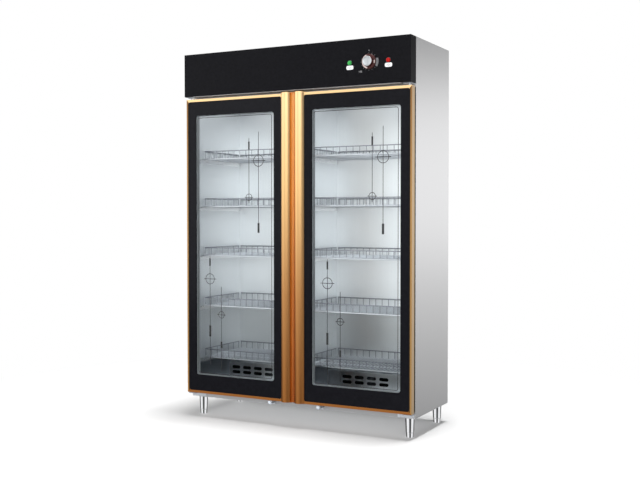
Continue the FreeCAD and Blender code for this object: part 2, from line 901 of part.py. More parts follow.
def door_pieces():
    """The right door's pieces, by name."""
    stile, rails = door_frame()
    edge_top, edge_bottom = door_top - frame_wall, door_bottom + frame_wall
    edge_side = half_width - frame_wall
    groove = stile_edge - stile_groove
    c = glass_edge_clearance
    glass = box(groove + c, edge_side - c, glass_front, glass_back, edge_bottom + c, edge_top - c)
    inner = [
        tube_bar(groove, window_left, edge_bottom, edge_top, True),
        tube_bar(window_right, edge_side, edge_bottom, edge_top, True),
        tube_bar(window_left, window_right, window_top, edge_top, False),
        tube_bar(window_left, window_right, edge_bottom, window_bottom, False),
    ]
    seal_back = body_front - gasket_clearance
    seal_out = pivot_x
    seal_low = door_bottom + 3 * frame_wall
    seal_high = door_top - 3 * frame_wall
    seal_meet = 2 * meet
    seal = [
        box(seal_meet, seal_meet + mullion_gasket_width, door_back, seal_back, seal_low, seal_high),
        box(seal_out - gasket_width, seal_out, door_back, seal_back, seal_low, seal_high),
    ]
    for low in (seal_low, seal_high - gasket_width):
        seal.append(
            box(
                seal_meet + mullion_gasket_width,
                seal_out - gasket_width,
                door_back,
                seal_back,
                low,
                low + gasket_width,
            )
        )
    bushes = []
    for low in (edge_bottom, edge_top - bush_height):
        block = box(
            pivot_x - bush_width / 2,
            pivot_x + bush_width / 2,
            glass_back + border_wall,
            door_back - border_wall,
            low,
            low + bush_height,
        )
        bore = rod(
            pin_radius + pin_clearance,
            Vector(pivot_x, pivot_y, low - sheet),
            Vector(pivot_x, pivot_y, low + bush_height + sheet),
        )
        bushes.append(block.cut(bore))
    return {
        "door_hinge_stile": [stile],
        "door_rails": rails,
        "door_handle_stile": handle_stile(),
        "door_glass": [glass],
        "door_inner_frame": inner,
        "door_gasket": seal,
        "door_bushes": bushes,
    }


def doors():
    """Both doors: the left one mirrors the right one."""
    for name, shapes in door_pieces().items():
        save(f"right_{name}", *shapes)
        save(f"left_{name}", *[mirrored(shape) for shape in shapes])


def hinge_brackets():
    """Right-hand pivot brackets: an angle under the door, and a plate under the fascia above it."""
    right = half_width - bracket_inset
    left = right - bracket_width
    front = door_face + bracket_front_inset
    plate_top = door_bottom - bracket_door_gap
    tongue = right - tongue_width
    plate = box(tongue, right, front, body_front, plate_top - bracket_plate, plate_top)
    flange = box(
        left, right, body_front - bracket_flange, body_front, plate_top - bracket_flange_height, plate_top
    )
    low_pin = rod(
        pin_radius,
        Vector(pivot_x, pivot_y, plate_top - bracket_plate),
        Vector(pivot_x, pivot_y, plate_top + pin_length),
    )
    lower = weld([plate, flange, low_pin])
    upper_plate = box(tongue, right, front, body_front, header_bottom - bracket_plate, header_bottom)
    high_pin = rod(
        pin_radius,
        Vector(pivot_x, pivot_y, header_bottom),
        Vector(pivot_x, pivot_y, door_top - pin_length),
    )
    return [lower, weld([upper_plate, high_pin])]


def roller_bracket():
    """Right-hand bracket on the bottom rail, with two ears and a pin for the door's support roller."""
    half = roller_width / 2 + roller_side_clearance
    axis_y = body_front - roller_setback
    axis_z = roller_axis_z()
    low, high = axis_z - ear_margin, axis_z + ear_margin
    front = axis_y - ear_margin
    outer = half + ear_thickness
    plate = box(
        roller_offset - outer,
        roller_offset + outer,
        body_front - roller_base_thickness,
        body_front,
        base_top,
        high,
    )
    ears = [
        box(x, x + ear_thickness, front, body_front, low, high)
        for x in (roller_offset - outer, roller_offset + half)
    ]
    pin = rod(
        roller_pin_radius,
        Vector(roller_offset - outer, axis_y, axis_z),
        Vector(roller_offset + outer, axis_y, axis_z),
    )
    return weld([plate] + ears + [pin])


def roller_axis_z():
    """Height of the support roller's axis, so that the wheel just clears the door."""
    return door_bottom - roller_top_clearance - roller_radius


def support_roller():
    """Right-hand barrel-shaped wheel under the door's free end."""
    centre = Vector(roller_offset, body_front - roller_setback, roller_axis_z())
    half = X_AXIS * (roller_width / 2)
    side = math.degrees(math.asin(roller_width / 2 / roller_radius))
    wheel = Part.makeSphere(roller_radius, centre, X_AXIS, -side, side, 360)
    return wheel.cut(rod(roller_pin_radius + pin_clearance, centre - half * 2, centre + half * 2))


def door_hardware():
    """Brackets, rollers and the screws that hold the lower hinge brackets."""
    save("door_brackets", *both_sides(hinge_brackets() + [roller_bracket()]))
    save("right_support_roller", support_roller())
    save("left_support_roller", mirrored(support_roller()))
    first = half_width - bracket_inset - bracket_width + bracket_screw_inset
    plate_top = door_bottom - bracket_door_gap
    z = plate_top - bracket_flange_height / 2
    y = body_front - bracket_flange
    heads = []
    for x in (first, first + bracket_screw_pitch):
        head = rod(screw_head_radius, Vector(x, y - screw_head_height, z), Vector(x, y, z))
        heads.append(head.makeFillet(screw_head_height / 2, [rim(head, y - screw_head_height)]))
    save("hinge_screws", *both_sides(heads))


# ---- Legs ---------------------------------------------------------------------------------------
def leg_sleeve(x, y):
    """Round flange and tapered sleeve, with a threaded nut end round the foot's stud."""
    low = foot_height + foot_gap
    high = base - leg_flange
    plate = rod(leg_flange_radius, Vector(x, y, high), Vector(x, y, base))
    cone = Part.makeCone(leg_low_radius, leg_top_radius, high - low, Vector(x, y, low), Z_AXIS)
    hollow = rod(leg_bore_radius, Vector(x, y, low + nut_depth), Vector(x, y, high))
    thread = rod(
        stud_radius + stud_clearance, Vector(x, y, low - sheet), Vector(x, y, low + nut_depth + sheet)
    )
    return weld([plate, cone.cut(hollow)]).cut(thread)


def foot(x, y):
    """Adjustable foot: a turned disc on its stud."""
    disc = Part.makeCone(foot_base_radius, foot_radius, foot_height, Vector(x, y, 0), Z_AXIS)
    ends = [edge for edge in disc.Edges if edge.BoundBox.ZLength < foot_edge / 2]
    disc = disc.makeFillet(foot_edge / 2, ends)
    stud = rod(stud_radius, Vector(x, y, foot_height / 2), Vector(x, y, foot_height + stud_length))
    return weld([disc, stud])


def legs():
    """Four legs near the corners of the base."""
    spots = {}
    for end, y in (("front", body_front + leg_inset_y), ("back", body_back - leg_inset_y)):
        for side, sign in (("left", -1), ("right", 1)):
            spots[f"{end}_{side}"] = (sign * (half_width - leg_inset_x), y)
    save("leg_sleeves", *[leg_sleeve(x, y) for x, y in spots.values()])
    for name, (x, y) in spots.items():
        save(f"{name}_foot", foot(x, y))


# ---- Build --------------------------------------------------------------------------------------
def main():
    os.makedirs("parts", exist_ok=True)
    casing()
    front_frame()
    liners()
    insulation()
    header()
    controls()
    cable_gland()
    ducts()
    shelves()
    runners()
    doors()
    door_hardware()
    legs()


main()
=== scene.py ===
# %% [markdown]
# # Dressing a dish sterilizer cabinet
#
# A dish sterilizer is a tall stainless cupboard with two gold-edged glass doors, wire shelves for
# the crockery and a slotted duct that blows hot air. Its shapes are already drawn as solids, which
# carry the sizes and the hinges, so they stay where they are. This lesson adds what solids can't
# show: brushed steel, gold anodising, printed glass, a dial, pilot lamps, screws and soft seals.

# %% Load the frame
import json
import math

import bmesh
import bpy
from mathutils import Matrix, Vector


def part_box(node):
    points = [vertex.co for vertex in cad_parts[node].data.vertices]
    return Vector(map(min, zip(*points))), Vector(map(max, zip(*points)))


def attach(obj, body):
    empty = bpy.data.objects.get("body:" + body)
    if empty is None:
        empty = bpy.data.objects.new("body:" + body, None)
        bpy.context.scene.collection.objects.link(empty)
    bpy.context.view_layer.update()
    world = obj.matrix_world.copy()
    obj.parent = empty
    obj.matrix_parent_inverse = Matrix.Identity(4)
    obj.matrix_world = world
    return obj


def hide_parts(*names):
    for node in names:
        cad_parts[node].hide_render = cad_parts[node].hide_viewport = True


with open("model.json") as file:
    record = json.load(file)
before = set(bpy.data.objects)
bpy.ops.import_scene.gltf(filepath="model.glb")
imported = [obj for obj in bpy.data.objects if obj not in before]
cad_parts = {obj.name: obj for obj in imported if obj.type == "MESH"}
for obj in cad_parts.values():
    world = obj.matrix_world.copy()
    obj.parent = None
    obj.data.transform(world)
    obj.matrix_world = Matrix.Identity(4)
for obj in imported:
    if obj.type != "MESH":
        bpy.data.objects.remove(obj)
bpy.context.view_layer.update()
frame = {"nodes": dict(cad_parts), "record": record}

# %% [markdown]
# ## Where the camera stands
#
# The camera stands in front and to the right of the cabinet, at chest height, so the right side
# panel shows as a narrow strip. It looks down by a degree and a half, which does as well as
# shifting the lens, as the whole object fits in.

# %% Place the camera
LENS_MM, SENSOR_MM = 53.3, 36.0
TILT_DEGREES, TURN_DEGREES = 1.554, 27.64

scene = bpy.context.scene
scene.view_settings.view_transform = "Standard"
camera = bpy.data.objects.new("camera", bpy.data.cameras.new("camera"))
camera.data.lens = LENS_MM
camera.data.sensor_width = SENSOR_MM
camera.location = (2.3686, -4.4508, 1.0952)
camera.rotation_euler = (math.radians(90 - TILT_DEGREES), 0, math.radians(TURN_DEGREES))
scene.collection.objects.link(camera)
scene.camera = camera
print("camera at", tuple(round(v, 2) for v in camera.location))

# %% [markdown]
# ## Measures that the pieces share
#
# The doors, the glass, the header and the dial are read from the frame once, so that print, seals
# and lamps take their places from the solids that carry them.

# %% Read the measures
MM = 0.001
DOORS = ((1, "right_door"), (-1, "left_door"))
door_low, door_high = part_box("right_door_hinge_stile")
dial_low, dial_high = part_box("timer_dial")
GLASS_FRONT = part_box("right_door_glass")[0].y
HEADER_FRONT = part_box("header_panel")[0].y
KNOB_X = (dial_low.x + dial_high.x) / 2
KNOB_Z = (dial_low.z + dial_high.z) / 2
print("glass front at y", round(GLASS_FRONT, 4), "dial centre", round(KNOB_X, 4), round(KNOB_Z, 4))

# %% [markdown]
# ## A start for every finish
#
# Each finish is a Principled shader with a few nodes before it. These helpers add and feed a node,
# start a material, and make a grain that can be drawn out along an axis, as rolling and brushing
# do. An image of scratches would do too, but a grain needs no unwrapping and no file.

# %% Helpers that start a finish
def feed(made, inputs):
    """Links each input of a node to another node's output, or sets it to a value."""
    for name, value in inputs.items():
        if isinstance(value, bpy.types.NodeSocket):
            made.id_data.links.new(value, made.inputs[name])
        else:
            made.inputs[name].default_value = value


def node(tree, kind, inputs=None, **settings):
    made = tree.nodes.new("ShaderNode" + kind)
    for name, value in settings.items():
        setattr(made, name, value)
    feed(made, inputs or {})
    return made


def shader_of(finish):
    return finish.node_tree, finish.node_tree.nodes["Principled BSDF"]


def start_finish(name, colour, metallic, roughness):
    """A new material with its Principled shader's plain settings."""
    finish = bpy.data.materials.new(name)
    finish.use_nodes = True
    tree, shader = shader_of(finish)
    feed(shader, {"Base Color": (*colour, 1), "Metallic": metallic, "Roughness": roughness})
    return finish, tree, shader


def grain(tree, stretch, detail=3.0):
    """Noise in the piece's own metres; a small number in stretch draws it out along that axis."""
    place = node(tree, "TexCoord").outputs["Object"]
    spread = node(tree, "Mapping", {"Vector": place, "Scale": stretch}).outputs["Vector"]
    noise = node(tree, "TexNoise", {"Vector": spread, "Scale": 1.0, "Detail": detail})
    return noise.outputs["Fac"]


print("a finish can be started")

# %% [markdown]
# ## Working with values
#
# Some finishes change with the place on the piece, as gold does with height. That takes small
# sums in nodes: where a point is, how far it is between two limits, and one value times another.

# %% Helpers for values
def calculate(tree, operation, *values):
    """The result of one Math node over the values."""
    return node(tree, "Math", dict(enumerate(values)), operation=operation).outputs["Value"]


def times(tree, a, b):
    return calculate(tree, "MULTIPLY", a, b)


def reach(tree, value, low, high, to_low=0.0, to_high=1.0):
    """Maps value from low..high to to_low..to_high, held at the ends."""
    span = {"Value": value, "From Min": low, "From Max": high, "To Min": to_low, "To Max": to_high}
    return node(tree, "MapRange", span).outputs["Result"]


def where(tree, source, output):
    """The x, y and z of a place or a direction, as three values."""
    place = node(tree, source).outputs[output]
    axes = node(tree, "SeparateXYZ", {"Vector": place}).outputs
    return axes["X"], axes["Y"], axes["Z"]


print("values can be worked out")

# %% [markdown]
# ## Colour, gloss and relief
#
# No real surface is one flat colour. These helpers turn a value, mostly a grain, into a slight
# change of colour, of gloss and of height. The height is only bump, which is right for marks finer
# than a hair, and it also eases the hard edges of the solids, so that they catch light.

# %% Helpers for the surface
COLOUR_A, COLOUR_B, COLOUR_OUT = 6, 7, 2  # The Mix node's sockets for colours


def scale_of(tree, factor, stops, easing="LINEAR"):
    """A scale of colours over factor, from a list of (place, colour) in rising order."""
    made = node(tree, "ValToRGB", {"Fac": factor})
    made.color_ramp.interpolation = easing
    elements = made.color_ramp.elements
    while len(elements) < len(stops):
        elements.new(0.5)
    for element, (place, colour) in zip(elements, stops):
        element.position = place
        element.color = (*colour, 1)
    return made.outputs["Color"]


def tint(shader, factor, stops):
    feed(shader, {"Base Color": scale_of(shader.id_data, factor, stops)})


def blend(shader, factor, kind, colour):
    """Blends colour over the surface's own by factor; kind is MIX or MULTIPLY."""
    own = shader.inputs["Base Color"].links[0].from_socket
    colours = {0: factor, COLOUR_A: own, COLOUR_B: (*colour, 1)}
    mixed = node(shader.id_data, "Mix", colours, data_type="RGBA", blend_type=kind)
    feed(shader, {"Base Color": mixed.outputs[COLOUR_OUT]})


def gloss(shader, factor, low, high):
    """Varies the roughness between low and high."""
    feed(shader, {"Roughness": reach(shader.id_data, factor, 0.0, 1.0, low, high)})


def relief(shader, height, depth, edge=0.0):
    """Bump from height, over edges that are eased by a radius of edge."""
    tree = shader.id_data
    bump = {"Height": height, "Strength": 1.0, "Distance": depth}
    if edge:
        bump["Normal"] = node(tree, "Bevel", {"Radius": edge}, samples=4).outputs["Normal"]
    feed(shader, {"Normal": node(tree, "Bump", bump).outputs["Normal"]})


print("finish helpers ready")

# %% [markdown]
# ## Brushed and polished steel
#
# The casing is folded from brushed stainless sheet: fine scratches in one direction, a satin
# sheen, and folded edges that catch a thin line of light. Modelled scratches would be far too
# many, so a drawn-out noise gives them as slight bump and colour. The liner inside is the same
# steel with a softer sheen and a bluish cast.

# %% Steel finishes
def brushed_steel(name, colour, roughness, stretch, cast=0.03):
    """Steel brushed along the axis that stretch draws out, its lines darker by cast."""
    finish, tree, shader = start_finish(name, colour, 1.0, roughness)
    lines = grain(tree, stretch)
    darker = tuple(c * (1 - cast) for c in colour)
    tint(shader, lines, [(0.3, darker), (0.7, colour)])
    gloss(shader, lines, roughness * 0.92, roughness * 1.1)
    relief(shader, lines, 0.006 * MM, edge=0.9 * MM)
    return finish


UPRIGHT, ALONG = (300, 300, 4), (4, 300, 300)
stainless = brushed_steel("brushed_stainless", (0.86, 0.86, 0.87), 0.26, (420, 420, 3))
# The bottom rail's steel is made darker as painted shade, for the shade under the doors.
rail_steel = brushed_steel("satin_rail_steel", (0.47, 0.47, 0.48), 0.48, (3, 420, 420), 0.06)
liner_steel = brushed_steel("polished_liner_steel", (0.86, 0.88, 0.90), 0.4, UPRIGHT)
duct_steel = brushed_steel("polished_duct_steel", (0.90, 0.92, 0.94), 0.28, UPRIGHT)
liner_floor_steel = brushed_steel("mirror_liner_floor", (0.62, 0.65, 0.69), 0.12, ALONG)
print("steel:", stainless.name, rail_steel.name, liner_steel.name)

# %% [markdown]
# ## Painted shade on the steel
#
# The inside of the duct and the walls below the lowest shelf take little light, so the steel there
# is painted darker as shade. Separate darker plates would show their edges, so the painted shade is
# a part of the finish and depends on the place: nearly black inside the duct, and dim on the walls
# below the lowest shelf.

# %% Paint shade on the steel
def painted_duct_shade(finish):
    """Darkens the steel inside the air duct, as painted shade."""
    tree, shader = shader_of(finish)
    duct_low, duct_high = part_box("duct_covers")
    _, y, z = where(tree, "TexCoord", "Object")
    behind = reach(tree, y, duct_low.y + 0.3 * MM, duct_low.y + 0.9 * MM)
    below = reach(tree, z, duct_high.z - 2 * MM, duct_high.z - 1 * MM, 1.0, 0.0)
    blend(shader, times(tree, behind, below), "MULTIPLY", (0.06, 0.055, 0.05))


for finish in (liner_steel, liner_floor_steel, duct_steel):
    painted_duct_shade(finish)
# Painted shade: the liner is darker on the walls below the lowest shelf.
tree, shader = shader_of(liner_steel)
shelf_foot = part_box("right_shelf_1")[0].z
_, _, z = where(tree, "TexCoord", "Object")
painted_shade_below_shelf = reach(tree, z, shelf_foot - 30 * MM, shelf_foot, 1.0, 0.0)
blend(shader, painted_shade_below_shelf, "MULTIPLY", (0.20, 0.21, 0.23))
# The darkening on these pieces is painted shade.
print("heat stains on", liner_steel.name, liner_floor_steel.name, duct_steel.name)

# %% [markdown]
# ## Galvanised sheet
#
# Hot zinc sets on the sheet in flat crystals a centimetre or so across, each at its own angle to
# the light. A Voronoi texture gives cells of that kind, each with its own shade and gloss.

# %% Zinc finish
CRYSTALS_PER_METRE = 70.0
galvanised, tree, shader = start_finish("galvanised_sheet", (0.6, 0.62, 0.64), 1.0, 0.45)
place = node(tree, "TexCoord").outputs["Object"]
crystals = node(tree, "TexVoronoi", {"Vector": place, "Scale": CRYSTALS_PER_METRE})
shade = node(tree, "SeparateColor", {"Color": crystals.outputs["Color"]}).outputs["Red"]
tint(shader, shade, [(0.0, (0.5, 0.52, 0.55)), (1.0, (0.68, 0.7, 0.72))])
gloss(shader, shade, 0.38, 0.55)
print("zinc finish:", galvanised.name)

# %% [markdown]
# ## Gold anodised aluminium
#
# The door edging is an aluminium extrusion, anodised champagne gold, with faint draw lines from the
# die. A flat gold would look like paint, so the colour follows the height: painted light and shade,
# pale at the top of the door and copper near the floor. In the finger channel it is painted redder
# and less like a mirror, a painted glow of light bounced between the gold walls. The hinge stiles
# have a finish of their own: brown gold in front that darkens toward the top as painted shade, a
# pale champagne painted highlight on the faces that turn to the right, and a dark painted shadow
# line along their inner edge.

# %% Gold finish
def gold_anodising(name, stops, rough):
    """Gold with light and shade painted by height along a door, from (share of the height, colour).
    """
    finish, tree, shader = start_finish(name, stops[-1][1], 1.0, rough)
    x, y, z = where(tree, "TexCoord", "Object")
    draw = grain(tree, (700, 700, 4))
    tint(shader, reach(tree, z, door_low.z, door_high.z), stops)
    gloss(shader, draw, rough * 0.9, rough * 1.1)
    relief(shader, draw, 0.02 * MM, edge=0.6 * MM)
    return finish, tree, shader, calculate(tree, "ABSOLUTE", x), y


# Painted light and shade: pale at the top of the door, copper near the floor.
stops = [(0.0, (0.42, 0.16, 0.042)), (0.35, (0.58, 0.28, 0.10))]
stops += [(0.7, (0.82, 0.52, 0.23)), (1.0, (0.92, 0.64, 0.33))]
gold, tree, shader, across, y = gold_anodising("gold_anodised_aluminium", stops, 0.38)
face = door_low.y
# Painted glow in the finger channel: redder and less metallic, for light bounced between gold
# walls.
depth = reach(tree, y, face + 1 * MM, face + 9 * MM)
channel_back = reach(tree, y, face + 12.5 * MM, face + 13.5 * MM, 1.0, 0.0)
channel_side = reach(tree, across, 58 * MM, 60 * MM, 1.0, 0.0)
channel_glow = times(tree, times(tree, depth, channel_back), channel_side)
blend(shader, channel_glow, "MULTIPLY", (1.35, 0.74, 0.22))
feed(shader, {"Metallic": reach(tree, channel_glow, 0.0, 1.0, 1.0, 0.25)})

# Painted shade: the hinge stiles' brown gold darkens toward the top of the door.
stops = [(0.0, (0.50, 0.28, 0.10)), (0.65, (0.46, 0.26, 0.10)), (1.0, (0.27, 0.145, 0.06))]
gold_edge, tree, shader, across, y = gold_anodising("gold_edge_painted_shade", stops, 0.42)
# Painted highlight: pale champagne on the faces that turn to the right.
rightward, _, _ = where(tree, "NewGeometry", "Normal")
blend(shader, reach(tree, rightward, 0.5, 0.8), "MIX", (0.80, 0.60, 0.375))
# Painted shadow: a dark line along the inner edge of the hinge stile.
inner_edge = reach(tree, across, door_high.x - 9 * MM, door_high.x - 8.3 * MM, 1.0, 0.0)
in_front = reach(tree, y, face + 5 * MM, face + 6 * MM, 1.0, 0.0)
blend(shader, times(tree, inner_edge, in_front), "MULTIPLY", (0.08, 0.12, 0.22))
print("gold finishes:", gold.name, gold_edge.name)

# %% [markdown]
# ## Black paint, plastic and rubber
#
# The header is folded sheet under semi-gloss black paint, with the faint ripple of sprayed paint.
# The inner door frame, the dial and the seals are black as well, each with its own roughness:
# anodised aluminium, moulded plastic with a fine matt texture, and soft rubber.

# %% Dark finishes
def dark_finish(name, colour, roughness, size, depth, edge=0.0, shine=0.5, metallic=0.0):
    """Paint, plastic or rubber with size grains to the metre, as deep as depth in mm."""
    finish, tree, shader = start_finish(name, colour, metallic, roughness)
    feed(shader, {"Specular IOR Level": shine})
    ripple = grain(tree, (size, size, size))
    lighter = tuple(c * 1.25 + 0.001 for c in colour)
    tint(shader, ripple, [(0.3, colour), (0.7, lighter)])
    gloss(shader, ripple, roughness * 0.85, roughness * 1.15)
    relief(shader, ripple, depth * MM, edge)
    return finish


black_paint = dark_finish(
    "semi_gloss_black_paint", (0.005, 0.005, 0.0065), 0.3, 90, 0.04, edge=1 * MM, shine=0.05
)
black_moulding = dark_finish("black_moulded_plastic", (0.018, 0.018, 0.02), 0.45, 900, 0.03)
black_anodised = dark_finish("black_anodised_frame", (0.012, 0.012, 0.013), 0.35, 300, 0.02)
seal_rubber = dark_finish("seal_rubber", (0.03, 0.03, 0.032), 0.7, 500, 0.05)
# The motor's paint is made nearly black, as painted shade behind the dark duct slots.
motor_paint = dark_finish("motor_grey_paint", (0.03, 0.034, 0.04), 0.5, 200, 0.05)
grey_paint = dark_finish("light_grey_paint", (0.42, 0.42, 0.43), 0.55, 120, 0.03)
grey_moulding = dark_finish("grey_moulded_plastic", (0.3, 0.31, 0.33), 0.5, 700, 0.03)
# The heater tubes' skin is their own dark oxide, made darker still as painted shade in the duct.
heater_skin = dark_finish("heater_tube_skin", (0.05, 0.045, 0.04), 0.45, 250, 0.03, metallic=0.8)
print("dark finishes:", black_paint.name, black_moulding.name, seal_rubber.name)

# %% [markdown]
# ## Chrome, plated steel, nylon and wool
#
# The legs are chromed and mirror the room, with a breath of dust on them. The shelves are darker,
# apart from their wire floors, which are paler. Brackets and screws are zinc plated and duller, and
# the rollers are white nylon. The insulation is a pale mineral wool, seen only when the cabinet is
# taken apart.

# %% Bright finishes
def bright_metal(name, colour, roughness, size):
    finish, tree, shader = start_finish(name, colour, 1.0, roughness)
    dust = grain(tree, (size, size, size * 0.5), detail=2.0)
    tint(shader, dust, [(0.35, tuple(c * 0.94 for c in colour)), (0.65, colour)])
    gloss(shader, dust, roughness * 0.7, roughness * 1.5)
    return finish


chrome = bright_metal("leg_chrome", (0.86, 0.87, 0.89), 0.06, 40)
plated = bright_metal("zinc_plating", (0.72, 0.75, 0.80), 0.28, 120)
wire_chrome = bright_metal("shelf_wire_chrome", (0.34, 0.35, 0.39), 0.3, 200)
tree, shader = shader_of(wire_chrome)
_, _, z = where(tree, "TexCoord", "Generated")
wire_floor = reach(tree, z, 0.16, 0.22, 1.0, 0.0)
blend(shader, wire_floor, "MIX", (0.72, 0.74, 0.78))
# The fan wheels are painted nearly black, as shade for the unlit duct behind the slots.
fan_steel = bright_metal("fan_steel_painted_shade", (0.03, 0.03, 0.032), 0.5, 200)
nylon = dark_finish("white_nylon", (0.62, 0.69, 0.76), 0.4, 300, 0.03)
wool = dark_finish("mineral_wool", (0.55, 0.5, 0.32), 0.95, 160, 0.8)
print("bright finishes:", chrome.name, plated.name, wire_chrome.name)

# %% [markdown]
# ## Door glass
#
# The panes are 5 mm float glass. True refraction would bend nothing worth seeing in a flat pane
# and would keep the lamps' light out, so the glass is a clear shader that lets light straight
# through, mixed with a gloss that grows toward glancing angles.

# %% Glass finish
def mix_shaders(tree, factor, first, second):
    """The first shader where factor is 0, the second where it is 1."""
    return node(tree, "MixShader", {0: factor, 1: first, 2: second}).outputs["Shader"]


glass, tree, shader = start_finish("door_pane_glass", (0.02, 0.024, 0.026), 0.0, 0.02)
gloss(shader, grain(tree, (9, 9, 5)), 0.012, 0.05)
clear = node(tree, "BsdfTransparent", {"Color": (0.97, 0.985, 0.985, 1)}).outputs["BSDF"]
fresnel = node(tree, "Fresnel", {"IOR": 1.3}).outputs["Fac"]
pane = mix_shaders(tree, fresnel, clear, shader.outputs["BSDF"])
feed(tree.nodes["Material Output"], {"Surface": pane})
print("glass finish:", glass.name)

# %% [markdown]
# ## Give the solids their finishes
#
# Each solid names the material slot it was drawn with, so one table from slot to finish dresses
# the whole frame at once, and a short second one picks out the few solids that differ.

# %% Dress the solids
SLOT_FINISH = {
    "stainless": stainless,
    "galvanised": galvanised,
    "polished_steel": liner_steel,
    "insulation": wool,
    "black_panel": black_paint,
    "green_lens": black_moulding,
    "red_lens": black_moulding,
    "black_plastic": black_moulding,
    "grey_plastic": grey_moulding,
    "motor_paint": motor_paint,
    "heater_steel": heater_skin,
    "plated_steel": plated,
    "chrome_steel": chrome,
    "silver_knob": plated,
    "gold_aluminium": gold,
    "door_glass": glass,
    "black_aluminium": black_anodised,
    "gasket_rubber": seal_rubber,
    "white_nylon": nylon,
    "shelf_wire": wire_chrome,
}
for part in frame["record"]["subparts"]:
    materials = frame["nodes"][part["node"]].data.materials
    materials.clear()
    materials.append(SLOT_FINISH[part["material_slot"]])
OTHER_FINISH = {
    "liner_decks": liner_floor_steel,
    "duct_covers": duct_steel,
    "bottom_rail": rail_steel,
    "timer_dial": black_paint,
    "left_door_hinge_stile": gold_edge,
    "right_door_hinge_stile": gold_edge,
    "left_fan_wheel": fan_steel,
    "right_fan_wheel": fan_steel,
}
for solid, finish in OTHER_FINISH.items():
    frame["nodes"][solid].data.materials[0] = finish
print("dressed", len(frame["nodes"]), "solids in", len(SLOT_FINISH), "finishes")

# %% [markdown]
# ## From an outline to a piece
#
# Most of the added pieces are thin and follow an outline, such as print on glass. These helpers
# join two loops of points with a strip of faces, make a closed ring between two outlines, and turn
# a mesh into an object that rides on a body of the frame. A curve with a bevel would be quicker,
# but it can't give a closed ring with square edges.

# %% Mesh helpers
def new_object(name, bm, finish):
    mesh = bpy.data.meshes.new(name)
    bm.to_mesh(mesh)
    bm.free()
    mesh.materials.append(finish)
    made = bpy.data.objects.new(name, mesh)
    scene.collection.objects.link(made)
    return made


def new_piece(name, bm, body, finish, smooth=False):
    """An object from bm with its normals turned outward, that rides on a body of the frame."""
    bmesh.ops.recalc_face_normals(bm, faces=bm.faces)
    piece = new_object(name, bm, finish)
    for face in piece.data.polygons:
        face.use_smooth = smooth
    if smooth:
        piece.data.set_sharp_from_angle(angle=math.radians(35))
    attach(piece, body)
    return piece


def loop_at(bm, points, y):
    return [bm.verts.new((x, y, z)) for x, z in points]


def bridge(bm, a, b):
    """Joins two loops of as many points each, all the way round."""
    for k in range(len(a)):
        j = (k + 1) % len(a)
        bm.faces.new((a[k], a[j], b[j], b[k]))


def band(bm, outer, inner, front, back):
    """A closed ring between two outlines with as many points each."""
    edges = ((outer, front), (inner, front), (inner, back), (outer, back))
    loops = [loop_at(bm, *edge) for edge in edges]
    for a, b in zip(loops, loops[1:] + loops[:1]):
        bridge(bm, a, b)


print("mesh helpers ready")

# %% [markdown]
# ## The black border on the glass
#
# Behind the gold edge each pane is printed black, so the tube frame behind it doesn't show, and a
# window with rounded corners is left clear. A material that turns black by position would do, but
# a thin printed layer keeps a crisp edge and moves with its door. The spans are measured on the
# right door and mirrored for the left one.

# %% Print the borders
LIP = 13.1 * MM
STILE_EDGE = 67.1 * MM
WINDOW_X = (111.5 * MM, 595.5 * MM)
WINDOW_Z = (229 * MM, 1624 * MM)
INK_BACK = GLASS_FRONT - 0.05 * MM
INK_FRONT = GLASS_FRONT - 0.3 * MM
print_black = dark_finish("ceramic_print_black", (0.006, 0.006, 0.008), 0.16, 60, 0.02, shine=0.08)


def rounded_outline(x0, x1, z0, z1, radius, steps=8):
    """Points round a rectangle with rounded corners, anticlockwise."""
    points = []
    centres = [(x1 - radius, z0 + radius, -90), (x1 - radius, z1 - radius, 0)]
    centres += [(x0 + radius, z1 - radius, 90), (x0 + radius, z0 + radius, 180)]
    for cx, cz, start in centres:
        for k in range(steps + 1):
            a = math.radians(start + 90 * k / steps)
            points.append((cx + radius * math.cos(a), cz + radius * math.sin(a)))
    return points


def sided(side, low, high):
    """A span measured on the right door, given for the door on that side."""
    return (low, high) if side > 0 else (-high, -low)


def door_border(side, door):
    x0, x1 = sided(side, STILE_EDGE, door_high.x - LIP)
    w0, w1 = sided(side, *WINDOW_X)
    bm = bmesh.new()
    outer = rounded_outline(x0, x1, door_low.z + LIP, door_high.z - LIP, 9 * MM)
    inner = rounded_outline(w0, w1, *WINDOW_Z, 15 * MM)
    band(bm, outer, inner, INK_FRONT, INK_BACK)
    return new_piece(f"{door}_border", bm, door, print_black)


for side, door in DOORS:
    border = door_border(side, door)
    print(border.name, "has", len(border.data.vertices), "points")

# %% [markdown]
# ## Glazing strips
#
# Behind the glass a pale silicone strip lines the opening of each inner frame and hides its cut
# edge. From one side it shows as a light margin inside the black border. It is one closed ring that
# follows the opening.

# %% Lay the glazing strips
strip_silicone = dark_finish("pale_silicone", (0.55, 0.57, 0.59), 0.5, 300, 0.02)


def corners(x0, x1, z0, z1, inset=0.0):
    """The corners of a rectangle drawn in by inset on every side."""
    x0, x1, z0, z1 = x0 + inset, x1 - inset, z0 + inset, z1 - inset
    return [(x0, z0), (x1, z0), (x1, z1), (x0, z1)]


def glazing_strip(side, door):
    low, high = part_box(f"{door}_inner_frame")
    opening = (*sided(side, *WINDOW_X), *WINDOW_Z)
    bm = bmesh.new()
    outer, inner = corners(*opening), corners(*opening, inset=1.2 * MM)
    band(bm, outer, inner, low.y + 0.5 * MM, high.y - 0.5 * MM)
    return new_piece(f"{door}_glazing_strip", bm, door, strip_silicone)


for side, door in DOORS:
    print(glazing_strip(side, door).name)

# %% [markdown]
# ## Thin plates
#
# Print, signs and plaques are flat shapes of hardly any thickness. Each is a closed plate cut to
# an outline, because a single face would have no edge and no back. Bars, circles and pen strokes
# are the outlines that come back most.

